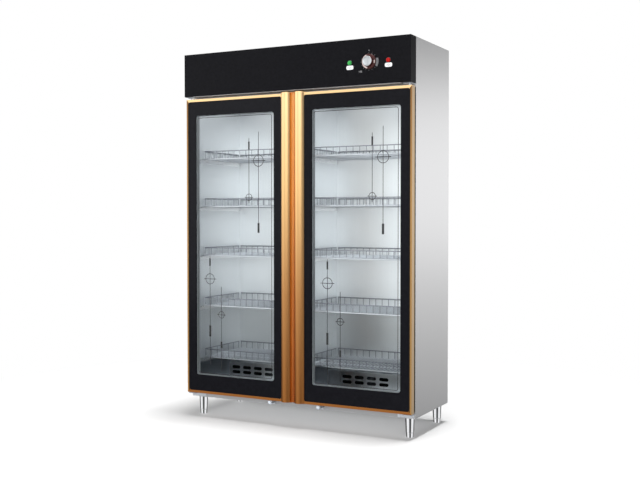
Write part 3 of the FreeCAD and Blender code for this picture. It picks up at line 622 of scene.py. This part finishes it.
# %% Helpers for plates
def plate(bm, outline, front, back):
    """A closed plate with that outline, from y = front to y = back."""
    near, far = loop_at(bm, outline, front), loop_at(bm, outline, back)
    bm.faces.new(near)
    bm.faces.new(far[::-1])
    bridge(bm, near, far)


def plates(name, outlines, front, back, body, finish, slot, smooth=False):
    """One piece made of a plate for each outline."""
    bm = bmesh.new()
    for outline in outlines:
        plate(bm, outline, front, back)
    return new_piece(name, bm, body, finish, smooth)


def sides_of(x, z, wide, tall):
    """The sides of a rectangle with its middle at x and z."""
    return x - wide / 2, x + wide / 2, z - tall / 2, z + tall / 2


def bar(bm, x, z, wide, tall, front, back):
    plate(bm, corners(*sides_of(x, z, wide, tall)), front, back)


def circle_outline(x, z, radius, steps=32):
    angles = [2 * math.pi * k / steps for k in range(steps)]
    return [(x + radius * math.cos(a), z + radius * math.sin(a)) for a in angles]


def stroke(points, width):
    """The outline of a flat stroke of that width along points."""
    points = [Vector(p) for p in points]
    left, right = [], []
    for k, p in enumerate(points):
        along = points[min(k + 1, len(points) - 1)] - points[max(k - 1, 0)]
        side = Vector((-along.y, along.x)).normalized() * width / 2
        left.append(p + side)
        right.append(p - side)
    return [(p.x, p.y) for p in right + left[::-1]]


print("plates can be cut")

# %% [markdown]
# ## Line work on the glass
#
# Each window carries a thin dark line that runs round it, and a plain pattern of this lesson's
# own: plumb lines, rings and short bars, two columns that hang from the top right corner and two
# that stand at the bottom left. Each mark is a plate about 0.2 mm thick, all in one mesh per door.
# A column is given in millimetres from its corner: its x, its plumb line's ends, a ring's height
# and radius, and each bar's height, width and length.

# %% Print the line work
LINE, LINE_INSET = 3.0 * MM, 11 * MM
MARK_BACK = GLASS_FRONT - 0.05 * MM
MARK_FRONT = GLASS_FRONT - 0.25 * MM
OVER_MARK = MARK_FRONT - 0.05 * MM
HANGING = [(-92, (-620, -100), (-250, 31), [(-600, 12, 52)])]
HANGING += [(-150, (-470, -130), (-440, 19), [(-170, 9, 42)])]
STANDING = [(88, (60, 640), (520, 29), [(240, 12, 60), (610, 9, 40)])]
STANDING += [(160, (30, 480), (330, 19), [(170, 10, 34)])]
line_ink = dark_finish("line_print_black", (0.012, 0.012, 0.014), 0.4, 400, 0.01)


def ring_mark(bm, x, z, radius):
    """A ring with a level line through it."""
    outer, inner = circle_outline(x, z, radius), circle_outline(x, z, radius - LINE)
    band(bm, outer, inner, MARK_FRONT, MARK_BACK)
    bar(bm, x, z, radius * 2.7, LINE, OVER_MARK, MARK_BACK)


def column(bm, x, z, ends, ring, bars):
    low, high = (z + height * MM for height in ends)
    bar(bm, x, (low + high) / 2, LINE, high - low, MARK_FRONT, MARK_BACK)
    ring_mark(bm, x, z + ring[0] * MM, ring[1] * MM)
    for height, wide, tall in bars:
        bar(bm, x, z + height * MM, wide * MM, tall * MM, OVER_MARK, MARK_BACK)


def line_work(side, door):
    (x0, x1), (z0, z1) = sided(side, *WINDOW_X), WINDOW_Z
    bm = bmesh.new()
    loops = []
    for step in (0, LINE):
        inset, radius = LINE_INSET + step, LINE_INSET - step
        loops.append(rounded_outline(x0 + inset, x1 - inset, z0 + inset, z1 - inset, radius))
    band(bm, *loops, MARK_FRONT, MARK_BACK)
    for corner_x, corner_z, columns in ((x1, z1, HANGING), (x0, z0, STANDING)):
        for x, *marks in columns:
            column(bm, corner_x + x * MM, corner_z, *marks)
    return new_piece(f"{door}_line_work", bm, door, line_ink)


for side, door in DOORS:
    print(line_work(side, door).name)

# %% [markdown]
# ## The lathe
#
# Knobs and lamps are round, so they are turned: a profile of radii and depths is swept round a
# line from front to back. A ready-made cylinder has no steps, and a profile holds as many as the
# real part has.

# %% Helpers for turned pieces
def in_mm(y, points):
    """A profile from radii and depths in millimetres, the depths measured back from y."""
    return [(radius * MM, y + depth * MM) for radius, depth in points]


def lathe(bm, profile, centre, steps, flute=None):
    """Turns a profile of (radius, y) about the line along Y through centre."""
    cx, cz = centre
    rings = []
    for radius, y in profile:
        if radius < 1e-7:
            rings.append([bm.verts.new((cx, y, cz))])
            continue
        ring = []
        for k in range(steps):
            a = 2 * math.pi * k / steps
            r = radius * (flute(a) if flute else 1.0)
            ring.append(bm.verts.new((cx + r * math.sin(a), y, cz + r * math.cos(a))))
        rings.append(ring)
    for a, b in zip(rings, rings[1:]):
        if len(a) == len(b):
            bridge(bm, a, b)
            continue
        tip, ring = (a[0], b) if len(a) == 1 else (b[0], a)
        for k in range(steps):
            bm.faces.new((tip, ring[k], ring[(k + 1) % steps]))


def turned(name, profile, body, finish, centre, flute=None, steps=96):
    bm = bmesh.new()
    lathe(bm, profile, centre, steps, flute)
    return new_piece(name, bm, body, finish, smooth=True)


print("the lathe is set up")

# %% [markdown]
# ## The timer knob
#
# The knob is a dark red skirt, a fluted dark red grip and a bright spun cap. The flutes are cut by
# shaping the radius round the turn, because a smooth cone would look like a stand-in.

# %% Turn the knob
FLUTES, FLUTE_DEPTH = 24, 0.04
knob_cap_metal = bright_metal("spun_cap_metal", (0.50, 0.52, 0.54), 0.32, 300)
skirt_metal = bright_metal("skirt_painted_highlight", (0.62, 0.52, 0.50), 0.45, 200)
grip_red = dark_finish("grip_red_plastic", (0.045, 0.007, 0.006), 0.4, 500, 0.02, shine=0.3)


def fluted(angle):
    """The share of the radius that the flutes leave at an angle round the grip."""
    return 1 - FLUTE_DEPTH * max(0.0, math.cos(FLUTES * angle)) ** 2


def knob_part(name, profile, finish, flute=None, steps=96):
    centre = (KNOB_X, KNOB_Z)
    return turned(name, profile, "timer_knob", finish, centre, flute, steps)


foot, top = dial_low.y - 0.5 * MM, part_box("timer_knob")[0].y
skirt_face, cap_face = foot - 5 * MM, top + 1.2 * MM
skirt = in_mm(foot, [(0, 0), (36.4, 0), (37, -0.6), (37, -3), (36.2, -4.3), (34.8, -5), (0, -5)])
grip = in_mm(skirt_face, [(0, 1), (27.5, 1), (27, -1)])
grip += in_mm(cap_face, [(25.4, 3), (25, 1.2), (24.4, 0.4), (0, 0.4)])
cap = in_mm(cap_face, [(0, 1), (24.2, 1), (24.2, 0), (23.4, -0.7), (22, -0.8), (21.2, -0.3)])
cap += in_mm(cap_face, [(12, -0.1), (0, 0)])
knob_part("knob_skirt", skirt, grip_red)
knob_grip = knob_part("knob_grip", grip, grip_red, fluted, 192)
knob_part("knob_cap", cap, knob_cap_metal)
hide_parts("timer_knob")
print("knob turned,", round((foot - top) / MM, 1), "mm tall")

# %% [markdown]
# ## Pointer and painted highlight band
#
# A ridge on the cap shows where the knob points, and a pale band in two lengths lies in the face of
# the skirt as a painted highlight. Both could be painted on, but fingers feel the ridge and the
# band has an edge.

# %% Fit the pointer and the painted highlight
def round_knob(radius, turn):
    """The point at that radius from the knob's middle, turned clockwise by degrees."""
    a = math.radians(turn)
    return KNOB_X + radius * math.sin(a), KNOB_Z + radius * math.cos(a)


def ring_sector(inner, outer, start, stop, steps=24):
    """The outline of a part of a ring round the knob, from start to stop in degrees."""
    turns = [start + (stop - start) * k / steps for k in range(steps + 1)]
    rim = [round_knob(outer, turn) for turn in turns]
    return rim + [round_knob(inner, turn) for turn in reversed(turns)]


on_cap = ("timer_knob", knob_cap_metal, "silver_knob")
ridge = rounded_outline(*sides_of(KNOB_X, KNOB_Z, 5 * MM, 40 * MM), 2.4 * MM)
plates("knob_pointer", [ridge], top, cap_face, *on_cap, smooth=True)
on_skirt = ("timer_knob", skirt_metal, "silver_knob")
# Painted highlight: pale bands on the dark red skirt where it would catch light.
highlight_sectors = [ring_sector(27.6 * MM, 35 * MM, *span) for span in ((80, 108), (192, 340))]
plates("knob_painted_highlight_band", highlight_sectors, skirt_face - 0.15 * MM, skirt_face + 0.05 * MM, *on_skirt)
print("pointer and", len(highlight_sectors), "lengths of band fitted")

# %% [markdown]
# ## Marks round the knob
#
# A timer needs a scale: fine grey ticks round the knob on the dial plate, with a grey patch where
# the scale is left out. They are thin raised plates, so that the mesh has them and not only its
# colours.

# %% Print the dial
dial_ink = dark_finish("dial_print_grey", (0.30, 0.30, 0.31), 0.5, 500, 0.01)
patch_grey = dark_finish("scale_patch_grey", (0.12, 0.12, 0.125), 0.5, 500, 0.01)
PRINT_FRONT, PRINT_BACK = dial_low.y - 0.15 * MM, dial_low.y + 0.05 * MM
STEP_DEGREES = 22.5
STEPS_ROUND = (*range(4), *range(6, 14))


def tick(step):
    """A tick's outline; every other one is longer."""
    inner, outer = 40 * MM, (45 if step % 2 == 0 else 43) * MM
    return stroke([round_knob(r, STEP_DEGREES * step) for r in (inner, outer)], 0.9 * MM)


ticks = [tick(step) for step in STEPS_ROUND]
plates("dial_ticks", ticks, PRINT_FRONT, PRINT_BACK, "cabinet", dial_ink, "black_plastic")
patch = [ring_sector(38 * MM, 51 * MM, 72, 122)]
plates("dial_scale_patch", patch, PRINT_FRONT, PRINT_BACK, "cabinet", patch_grey, "grey_plastic")
print("round the knob:", len(ticks), "ticks and a patch")

# %% [markdown]
# ## The numbers of the scale
#
# A plain 0 and 100 are enough to read the dial by. They are set in Blender's own font and extruded
# very thin, because an image of figures would blur close up.

# %% Set the numbers
def figure(text, x, z):
    name = f"dial_figure_{text}"
    curve = bpy.data.curves.new(name, "FONT")
    curve.body = text
    curve.size = 13 * MM
    curve.align_x = curve.align_y = "CENTER"
    curve.extrude = 0.1 * MM
    curve.materials.append(dial_ink)
    piece = bpy.data.objects.new(name, curve)
    piece.location = (x, HEADER_FRONT, z)
    piece.rotation_euler = (math.pi / 2, 0, 0)
    scene.collection.objects.link(piece)
    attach(piece, "cabinet")
    return piece


for text, turn, away in (("0", 0, 52), ("100", 225, 66)):
    print(figure(text, *round_knob(away * MM, turn)).name)

# %% [markdown]
# ## Pilot lamps
#
# Each lamp is a coloured dome with rings moulded inside it, held in a dark bezel whose barrel goes
# through the header. The dome is turned with its steps in the profile, and it glows faintly by
# itself, so no lamp is needed behind it.

# %% Turn the lamps
def lens_finish(name, colour, glow):
    finish, tree, shader = start_finish(name, colour, 0.0, 0.18)
    cloud = grain(tree, (120, 120, 120))
    tint(shader, cloud, [(0.35, tuple(c * 0.8 for c in colour)), (0.65, colour)])
    feed(shader, {"Specular IOR Level": 0.12, "Coat Weight": 0.05})
    feed(shader, {"Emission Color": (*colour, 1), "Emission Strength": glow})
    return finish


green_lens = lens_finish("green_lens", (0.045, 0.34, 0.08), 0.22)
red_lens = lens_finish("red_lens", (0.36, 0.006, 0.004), 0.2)


def pilot_lamp(name, finish):
    low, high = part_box(name)
    centre = ((low.x + high.x) / 2, (low.z + high.z) / 2)
    bezel = [(0.0, high.y), (9.5 * MM, high.y)]
    bezel += in_mm(HEADER_FRONT, [(9.5, 0), (13, 0), (13, -1.2), (12.2, -2), (11.2, -2)])
    bezel += in_mm(HEADER_FRONT, [(10.9, -1), (0, -1)])
    ring = turned(f"{name}_bezel", bezel, "cabinet", black_moulding, centre)
    rim, rise = 10.8, 7.4
    dome = [(0, -1.1), (rim, -1.1), (rim, -3)]
    for k in range(1, 7):
        lift = math.radians(90 * k / 7)
        radius, depth = rim * math.cos(lift), -3 - rise * math.sin(lift)
        dome += [(radius + 0.35, depth), (radius - 0.15, depth - 0.1)]
    profile = in_mm(HEADER_FRONT, dome) + [(0.0, low.y)]
    lens = turned(f"{name}_lens", profile, "cabinet", finish, centre)
    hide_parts(name)
    return ring, lens


for name, finish in (("green_lamp", green_lens), ("red_lamp", red_lens)):
    print([piece.name for piece in pilot_lamp(name, finish)])

# %% [markdown]
# ## Signs under the lamps
#
# Each lamp has a small white plaque under it with a sign for what it means: a ring with a bar for
# power, and three rising waves for heat. Words would do, but signs need no language. The plaque is
# a thin plate with rounded ends, and the sign is printed on its face.

# %% Print the signs
sign_white = dark_finish("sign_plaque_white", (0.80, 0.80, 0.81), 0.5, 300, 0.01)
PLAQUE_FRONT, PLAQUE_BACK = HEADER_FRONT - 0.6 * MM, HEADER_FRONT + 0.05 * MM
SIGN_Z = 1813 * MM


def plaque(name, x):
    outline = rounded_outline(*sides_of(x, SIGN_Z, 38 * MM, 20 * MM), 8 * MM)
    return plates(name, [outline], PLAQUE_FRONT, PLAQUE_BACK, "cabinet", sign_white, "white_nylon")


def sign(name, lines):
    """A sign drawn on a plaque with a pen of one width."""
    outlines = [stroke(line, 1.1 * MM) for line in lines]
    front, back = PLAQUE_FRONT - 0.15 * MM, PLAQUE_FRONT + 0.05 * MM
    return plates(name, outlines, front, back, "cabinet", line_ink, "black_plastic")


def power_sign(x):
    radius, centre_z = 5 * MM, SIGN_Z - 1 * MM
    turns = [math.radians(125 + 290 * k / 24) for k in range(25)]
    ring = [(x + radius * math.cos(a), centre_z + radius * math.sin(a)) for a in turns]
    return sign("power_sign", [ring, [(x, SIGN_Z + 0.5 * MM), (x, SIGN_Z + 6 * MM)]])


def heat_sign(x):
    tall, sway = 11 * MM, 1.3 * MM
    wave = [(sway * math.sin(2 * math.pi * k / 16), (k / 16 - 0.5) * tall) for k in range(17)]
    middles = (x - 5 * MM, x, x + 5 * MM)
    return sign("heat_sign", [[(m + dx, SIGN_Z + dz) for dx, dz in wave] for m in middles])


for name, x, draw in (("power_plaque", 334 * MM, power_sign), ("heat_plaque", 540 * MM, heat_sign)):
    print(plaque(name, x).name, draw(x).name)

# %% [markdown]
# ## The header's underside
#
# The header stands out over the doors and is closed underneath by a folded grey tray. Only a
# finger's width of it shows, as a light strip that keeps the black header and the gold rail apart.
# It is one folded profile, drawn out from side to side.

# %% Fold the tray
header_low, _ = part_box("header_panel")
bottom, top, fold = (header_low.z - down * MM for down in (0.8, 0.2, 3.8))
front, back, behind = header_low.y + 1 * MM, -184 * MM, -183.5 * MM
profile = [(front, bottom), (back, bottom), (back, fold), (behind, fold)]
profile += [(behind, top), (front, top)]
bm = bmesh.new()
left, right = ([bm.verts.new((x, y, z)) for y, z in profile] for x in (-600 * MM, 600 * MM))
bm.faces.new(left)
bm.faces.new(right[::-1])
bridge(bm, left, right)
tray = new_piece("header_tray", bm, "cabinet", grey_paint)
print(tray.name, "closes the header")

# %% [markdown]
# ## Screw heads
#
# Pan-head screws with a cross recess hold the hinge brackets and the back panel. Each head is a
# small dome whose middle is pressed in along a cross, which catches the light as a painted cross
# couldn't.

# %% Shape a pan head
HEAD_RINGS = [(1.0, 0.0), (1.0, 0.35), (0.92, 0.72), (0.75, 0.93)]
HEAD_RINGS += [(0.55, 1.0), (0.36, 1.0), (0.18, 1.0)]
HEAD_STEPS, CROSS, RECESS = 32, 0.13, 0.45


def pan_head(bm, place, facing, radius, height, shank=0.0):
    """A pan head with a cross recess, standing on place and looking along facing."""
    turn = Vector((0, 0, 1)).rotation_difference(Vector(facing)).to_matrix().to_4x4()
    world = Matrix.Translation(place) @ turn
    neck = [(0.5, -shank / height), (0.5, 0.0)] if shank else []
    loops = []
    for r, h in neck + HEAD_RINGS:
        loop = []
        for k in range(HEAD_STEPS):
            a = 2 * math.pi * k / HEAD_STEPS
            x, y = r * math.cos(a), r * math.sin(a)
            in_cross = h == 1.0 and min(abs(x), abs(y)) < CROSS
            z = h - (RECESS if in_cross else 0.0)
            loop.append(bm.verts.new(world @ Vector((x * radius, y * radius, z * height))))
        loops.append(loop)
    for a, b in zip(loops, loops[1:]):
        bridge(bm, a, b)
    tip = bm.verts.new(world @ Vector((0, 0, height * 0.5)))
    for k in range(HEAD_STEPS):
        bm.faces.new((loops[-1][k], loops[-1][(k + 1) % HEAD_STEPS], tip))
    bm.faces.new(loops[0][::-1])


print("a pan head has", len(HEAD_RINGS) * HEAD_STEPS + 1, "points")

# %% [markdown]
# ## Fitting the screws
#
# Two screws hold each lower hinge bracket. Their heads have a short shank, because they stand in
# for the plain ones in the frame. The back panel is held along all its edges. Screws of a kind are
# one mesh, as they never move apart.

# %% Fit the screws
def screw_set(name, places, facing, radius, height, shank=0.0):
    bm = bmesh.new()
    for place in places:
        pan_head(bm, place, facing, radius, height, shank)
    return new_piece(name, bm, "cabinet", plated, smooth=True)


bracket_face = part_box("hinge_screws")[0].y + 1.6 * MM
places = [(side * x * MM, bracket_face, 115 * MM) for side in (-1, 1) for x in (576, 596)]
heads = screw_set("hinge_screw_heads", places, (0, -1, 0), 4.5 * MM, 1.6 * MM, shank=8 * MM)
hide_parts("hinge_screws")
print(len(places), "hinge screws")

back_low, back_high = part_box("back_panel")
EDGE = 12 * MM
edge_x = back_high.x - EDGE
edge_z = (back_low.z + EDGE, back_high.z - EDGE)
heights = [back_low.z + (60 + 240 * k) * MM for k in range(8)]
places = [(x, back_high.y, z) for x in (-edge_x, edge_x) for z in heights]
places += [(x * MM, back_high.y, z) for x in (-400, -130, 130, 400) for z in edge_z]
screw_set("back_screw_heads", places, (0, 1, 0), 4.2 * MM, 1.8 * MM)
print(len(places), "back screws")

# %% [markdown]
# ## Door seals
#
# A door seal is a soft extrusion: a flat foot pressed into the frame, a hollow bulb and two thin
# ribs. Swept round the door in one piece with mitred corners, it reads as rubber; the plain bars
# in the frame stay behind for collision only.

# %% Sweep the seals
SEAL_WIDTH = 15 * MM
HALF_SEAL = [(0.98, 0.0), (0.98, 0.16), (0.86, 0.2), (0.86, 0.3), (0.99, 0.34), (0.99, 0.4)]
HALF_SEAL += [(0.86, 0.46), (0.88, 0.62), (0.80, 0.82), (0.66, 0.95)]
SEAL_PROFILE = HALF_SEAL + [(0.5, 1.0)]
SEAL_PROFILE += [(1 - across, along) for across, along in reversed(HALF_SEAL)]


def seal_ring(door):
    plain = f"{door}_gasket"
    low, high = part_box(plain)
    bm = bmesh.new()
    loops = []
    for across, along in SEAL_PROFILE:
        y = low.y + along * (high.y - low.y)
        points = corners(low.x, high.x, low.z, high.z, inset=across * SEAL_WIDTH)
        loops.append(loop_at(bm, points, y))
    for a, b in zip(loops, loops[1:] + loops[:1]):
        bridge(bm, a, b)
    seal = new_piece(f"{door}_seal", bm, door, seal_rubber, smooth=True)
    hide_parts(plain)
    return seal


for door in ("left_door", "right_door"):
    print(seal_ring(door).name)

# %% [markdown]
# ## The studio floor
#
# The cabinet stands on a white floor, a disc wide enough to reach the horizon. It keeps the soft
# shadow under the cabinet, and away from that all is white. More light would bleach the steel, so
# the floor glows a little by itself, and most where the cabinet keeps the room's light away, so
# that the shadow is one even grey. It belongs to the studio, and metal doesn't mirror it.

# %% Lay the floor
SHADOW_GLOW, OPEN_SKY = 0.35, 0.57
WHITE_FROM, WHITE_BEYOND = 1.2, 2.4


def seen_directly(tree):
    """1 for rays from the camera and for those that metal and glass send on, otherwise 0."""
    ray = node(tree, "LightPath").outputs
    sent_on = calculate(tree, "MAXIMUM", ray["Is Glossy Ray"], ray["Is Transmission Ray"])
    return calculate(tree, "MAXIMUM", ray["Is Camera Ray"], sent_on)


def shadow_glow(tree, seen):
    """A glow that fades out where the floor sees enough of the room."""
    nook = node(tree, "AmbientOcclusion", {"Distance": 1.5}, samples=16).outputs["AO"]
    strength = times(tree, seen, reach(tree, nook, 0.0, OPEN_SKY, SHADOW_GLOW, 0.0))
    return node(tree, "Emission", {"Strength": strength}).outputs["Emission"]


floor_white, tree, shader = start_finish("studio_floor", (0.6, 0.6, 0.6), 0.0, 0.9)
mottle = grain(tree, (3, 3, 3), detail=2.0)
tint(shader, mottle, [(0.3, (0.595, 0.595, 0.595)), (0.7, (0.605, 0.605, 0.605))])
feed(shader, {"Specular IOR Level": 0.0})
seen = seen_directly(tree)
lit = {0: shader.outputs["BSDF"], 1: shadow_glow(tree, seen)}
near = node(tree, "AddShader", lit).outputs["Shader"]
place = node(tree, "TexCoord").outputs["Object"]
distance = node(tree, "VectorMath", {0: place}, operation="LENGTH").outputs["Value"]
away = times(tree, seen, reach(tree, distance, WHITE_FROM, WHITE_BEYOND))
far = node(tree, "Emission").outputs["Emission"]
feed(tree.nodes["Material Output"], {"Surface": mix_shaders(tree, away, near, far)})

disc = bmesh.new()
bmesh.ops.create_circle(disc, cap_ends=True, radius=40.0, segments=96)
floor = new_object("floor", disc, floor_white)
floor.visible_glossy = False
print(floor.name, "laid,", floor.dimensions.x, "m across")

# %% [markdown]
# ## The white room and its dark flags
#
# Metal shows the room it stands in, so the room is fitted out like a studio: white cloth all
# round, and dark flags where the steel, chrome and gold need shade. One flag hangs low in front,
# so the compartments darken toward the floor, and others behind at the sides give round metal a
# dark edge. Each list is a scale of greys, from a place to a level: one round the room, one up the
# front wall and one up the side, one that says where the side is, and one round the foot of the
# wall, which the legs mirror instead of the floor.

# %% Choose the greys
ROUND_THE_ROOM = [(0.0, 1.0), (0.37, 1.0), (0.42, 0.5), (0.55, 0.5), (0.61, 1.0)]
ROUND_THE_ROOM += [(0.76, 1.0), (0.79, 0.25), (0.93, 0.25), (0.96, 1.0)]
UP_THE_FRONT = [(0.36, 0.05), (0.425, 0.05), (0.45, 0.24), (0.475, 0.70)]
UP_THE_FRONT += [(0.51, 1.0), (0.65, 1.0), (1.0, 0.9)]
UP_THE_SIDE = [(0.36, 0.25), (0.395, 0.36), (0.42, 0.44), (0.455, 0.62), (0.49, 0.92)]
UP_THE_SIDE += [(0.53, 1.2), (0.556, 1.1), (0.575, 0.42), (0.61, 0.24), (1.0, 0.9)]
SIDE_PART = [(0.37, 0.0), (0.42, 1.0), (0.92, 1.0), (0.96, 0.0)]
NEAR_THE_FLOOR = [(0.0, 0.04), (0.04, 0.04), (0.07, 1.1), (0.23, 1.1), (0.27, 0.08)]
NEAR_THE_FLOOR += [(0.385, 0.08), (0.425, 1.1), (0.57, 1.1), (0.60, 0.05)]
NEAR_THE_FLOOR += [(0.64, 0.25), (0.74, 0.25), (0.76, 0.04)]
print("greys:", len(ROUND_THE_ROOM), "round the room,", len(UP_THE_FRONT), "up the front")

# %% [markdown]
# ## Hanging the cloth
#
# The cloth is a background, not a mesh: it is infinitely far away, so its greys depend only on the
# bearing and the height of a ray. The camera itself sees plain white, and metal sees pure white
# wherever no flag hangs.

# %% Hang the cloth
def grey_ramp(tree, factor, stops):
    """A smooth grey scale over factor, from a list of (place, level)."""
    greys = [(place, (level, level, level)) for place, level in stops]
    return scale_of(tree, factor, greys, easing="EASE")


def grey_mix(tree, factor, a, b):
    return node(tree, "Mix", {0: factor, 2: a, 3: b}, data_type="FLOAT").outputs[0]


def cloth_level(tree):
    """The room's grey level in the direction of a ray."""
    x, y, z = where(tree, "TexCoord", "Generated")
    bearing = reach(tree, calculate(tree, "ARCTAN2", y, x), -math.pi, math.pi)
    height = reach(tree, z, -1.0, 1.0)
    front, side = grey_ramp(tree, height, UP_THE_FRONT), grey_ramp(tree, height, UP_THE_SIDE)
    wall = grey_mix(tree, grey_ramp(tree, bearing, SIDE_PART), front, side)
    room = times(tree, grey_ramp(tree, bearing, ROUND_THE_ROOM), wall)
    low = reach(tree, z, -0.23, -0.20, 1.0, 0.0)
    return grey_mix(tree, low, room, grey_ramp(tree, bearing, NEAR_THE_FLOOR))


scene.world = bpy.data.worlds.new("room")
scene.world.use_nodes = True
tree = scene.world.node_tree
cloth, level = tree.nodes["Background"], cloth_level(tree)
feed(cloth, {"Color": level})
white = node(tree, "Background", {"Color": (1, 1, 1, 1)}).outputs["Background"]
camera_ray = node(tree, "LightPath").outputs["Is Camera Ray"]
unflagged = calculate(tree, "MAXIMUM", reach(tree, level, 0.8, 0.98), camera_ray)
is_white = times(tree, seen_directly(tree), unflagged)
room = mix_shaders(tree, is_white, cloth.outputs["Background"], white)
feed(tree.nodes["World Output"], {"Surface": room})
print("cloth hung in", scene.world.name)

# %% [markdown]
# ## Lamps
#
# A wide lamp high overhead, a little to the right, gives the floor its soft shadow. Two large
# soft lamps, left and right of the camera, lift the front. Faint flat lamps inside each door and
# under each ceiling let the liner shine behind the shelves. They are hidden from the camera, as the
# real cabinet has none.

# %% Light the lamps
COMPARTMENT_X = 318 * MM


def soft_lamp(name, place, aim, size, power):
    """A rectangular lamp, its sides in metres, that looks from place toward aim."""
    lamp = bpy.data.objects.new(name, bpy.data.lights.new(name, "AREA"))
    lamp.data.shape = "RECTANGLE"
    lamp.data.size, lamp.data.size_y = size
    lamp.data.energy = power
    lamp.location = place
    lamp.rotation_euler = (Vector(aim) - Vector(place)).to_track_quat("-Z", "Y").to_euler()
    scene.collection.objects.link(lamp)
    return lamp


soft_lamp("overhead_lamp", (1.3, 0.3, 20.0), (0, 0, 0), (3.6, 3.6), 4600)
soft_lamp("left_lamp", (-5.0, -2.6, 2.4), (0, 0, 1.1), (7.4, 4.8), 84)
soft_lamp("right_lamp", (1.2, -4.6, 2.9), (0, 0, 1.0), (4.8, 4.2), 72)
for name, x in (("left", -COMPARTMENT_X), ("right", COMPARTMENT_X)):
    place, aim = (x, -0.165, 1.12), (x, 0.5, 1.12)
    front = soft_lamp(f"{name}_compartment_lamp", place, aim, (0.57, 1.1), 1.27)
    place, aim = (x, 0.02, 1.676), (x, 0.02, 0)
    top = soft_lamp(f"{name}_ceiling_lamp", place, aim, (0.55, 0.34), 0.3)
    front.visible_camera = top.visible_camera = False
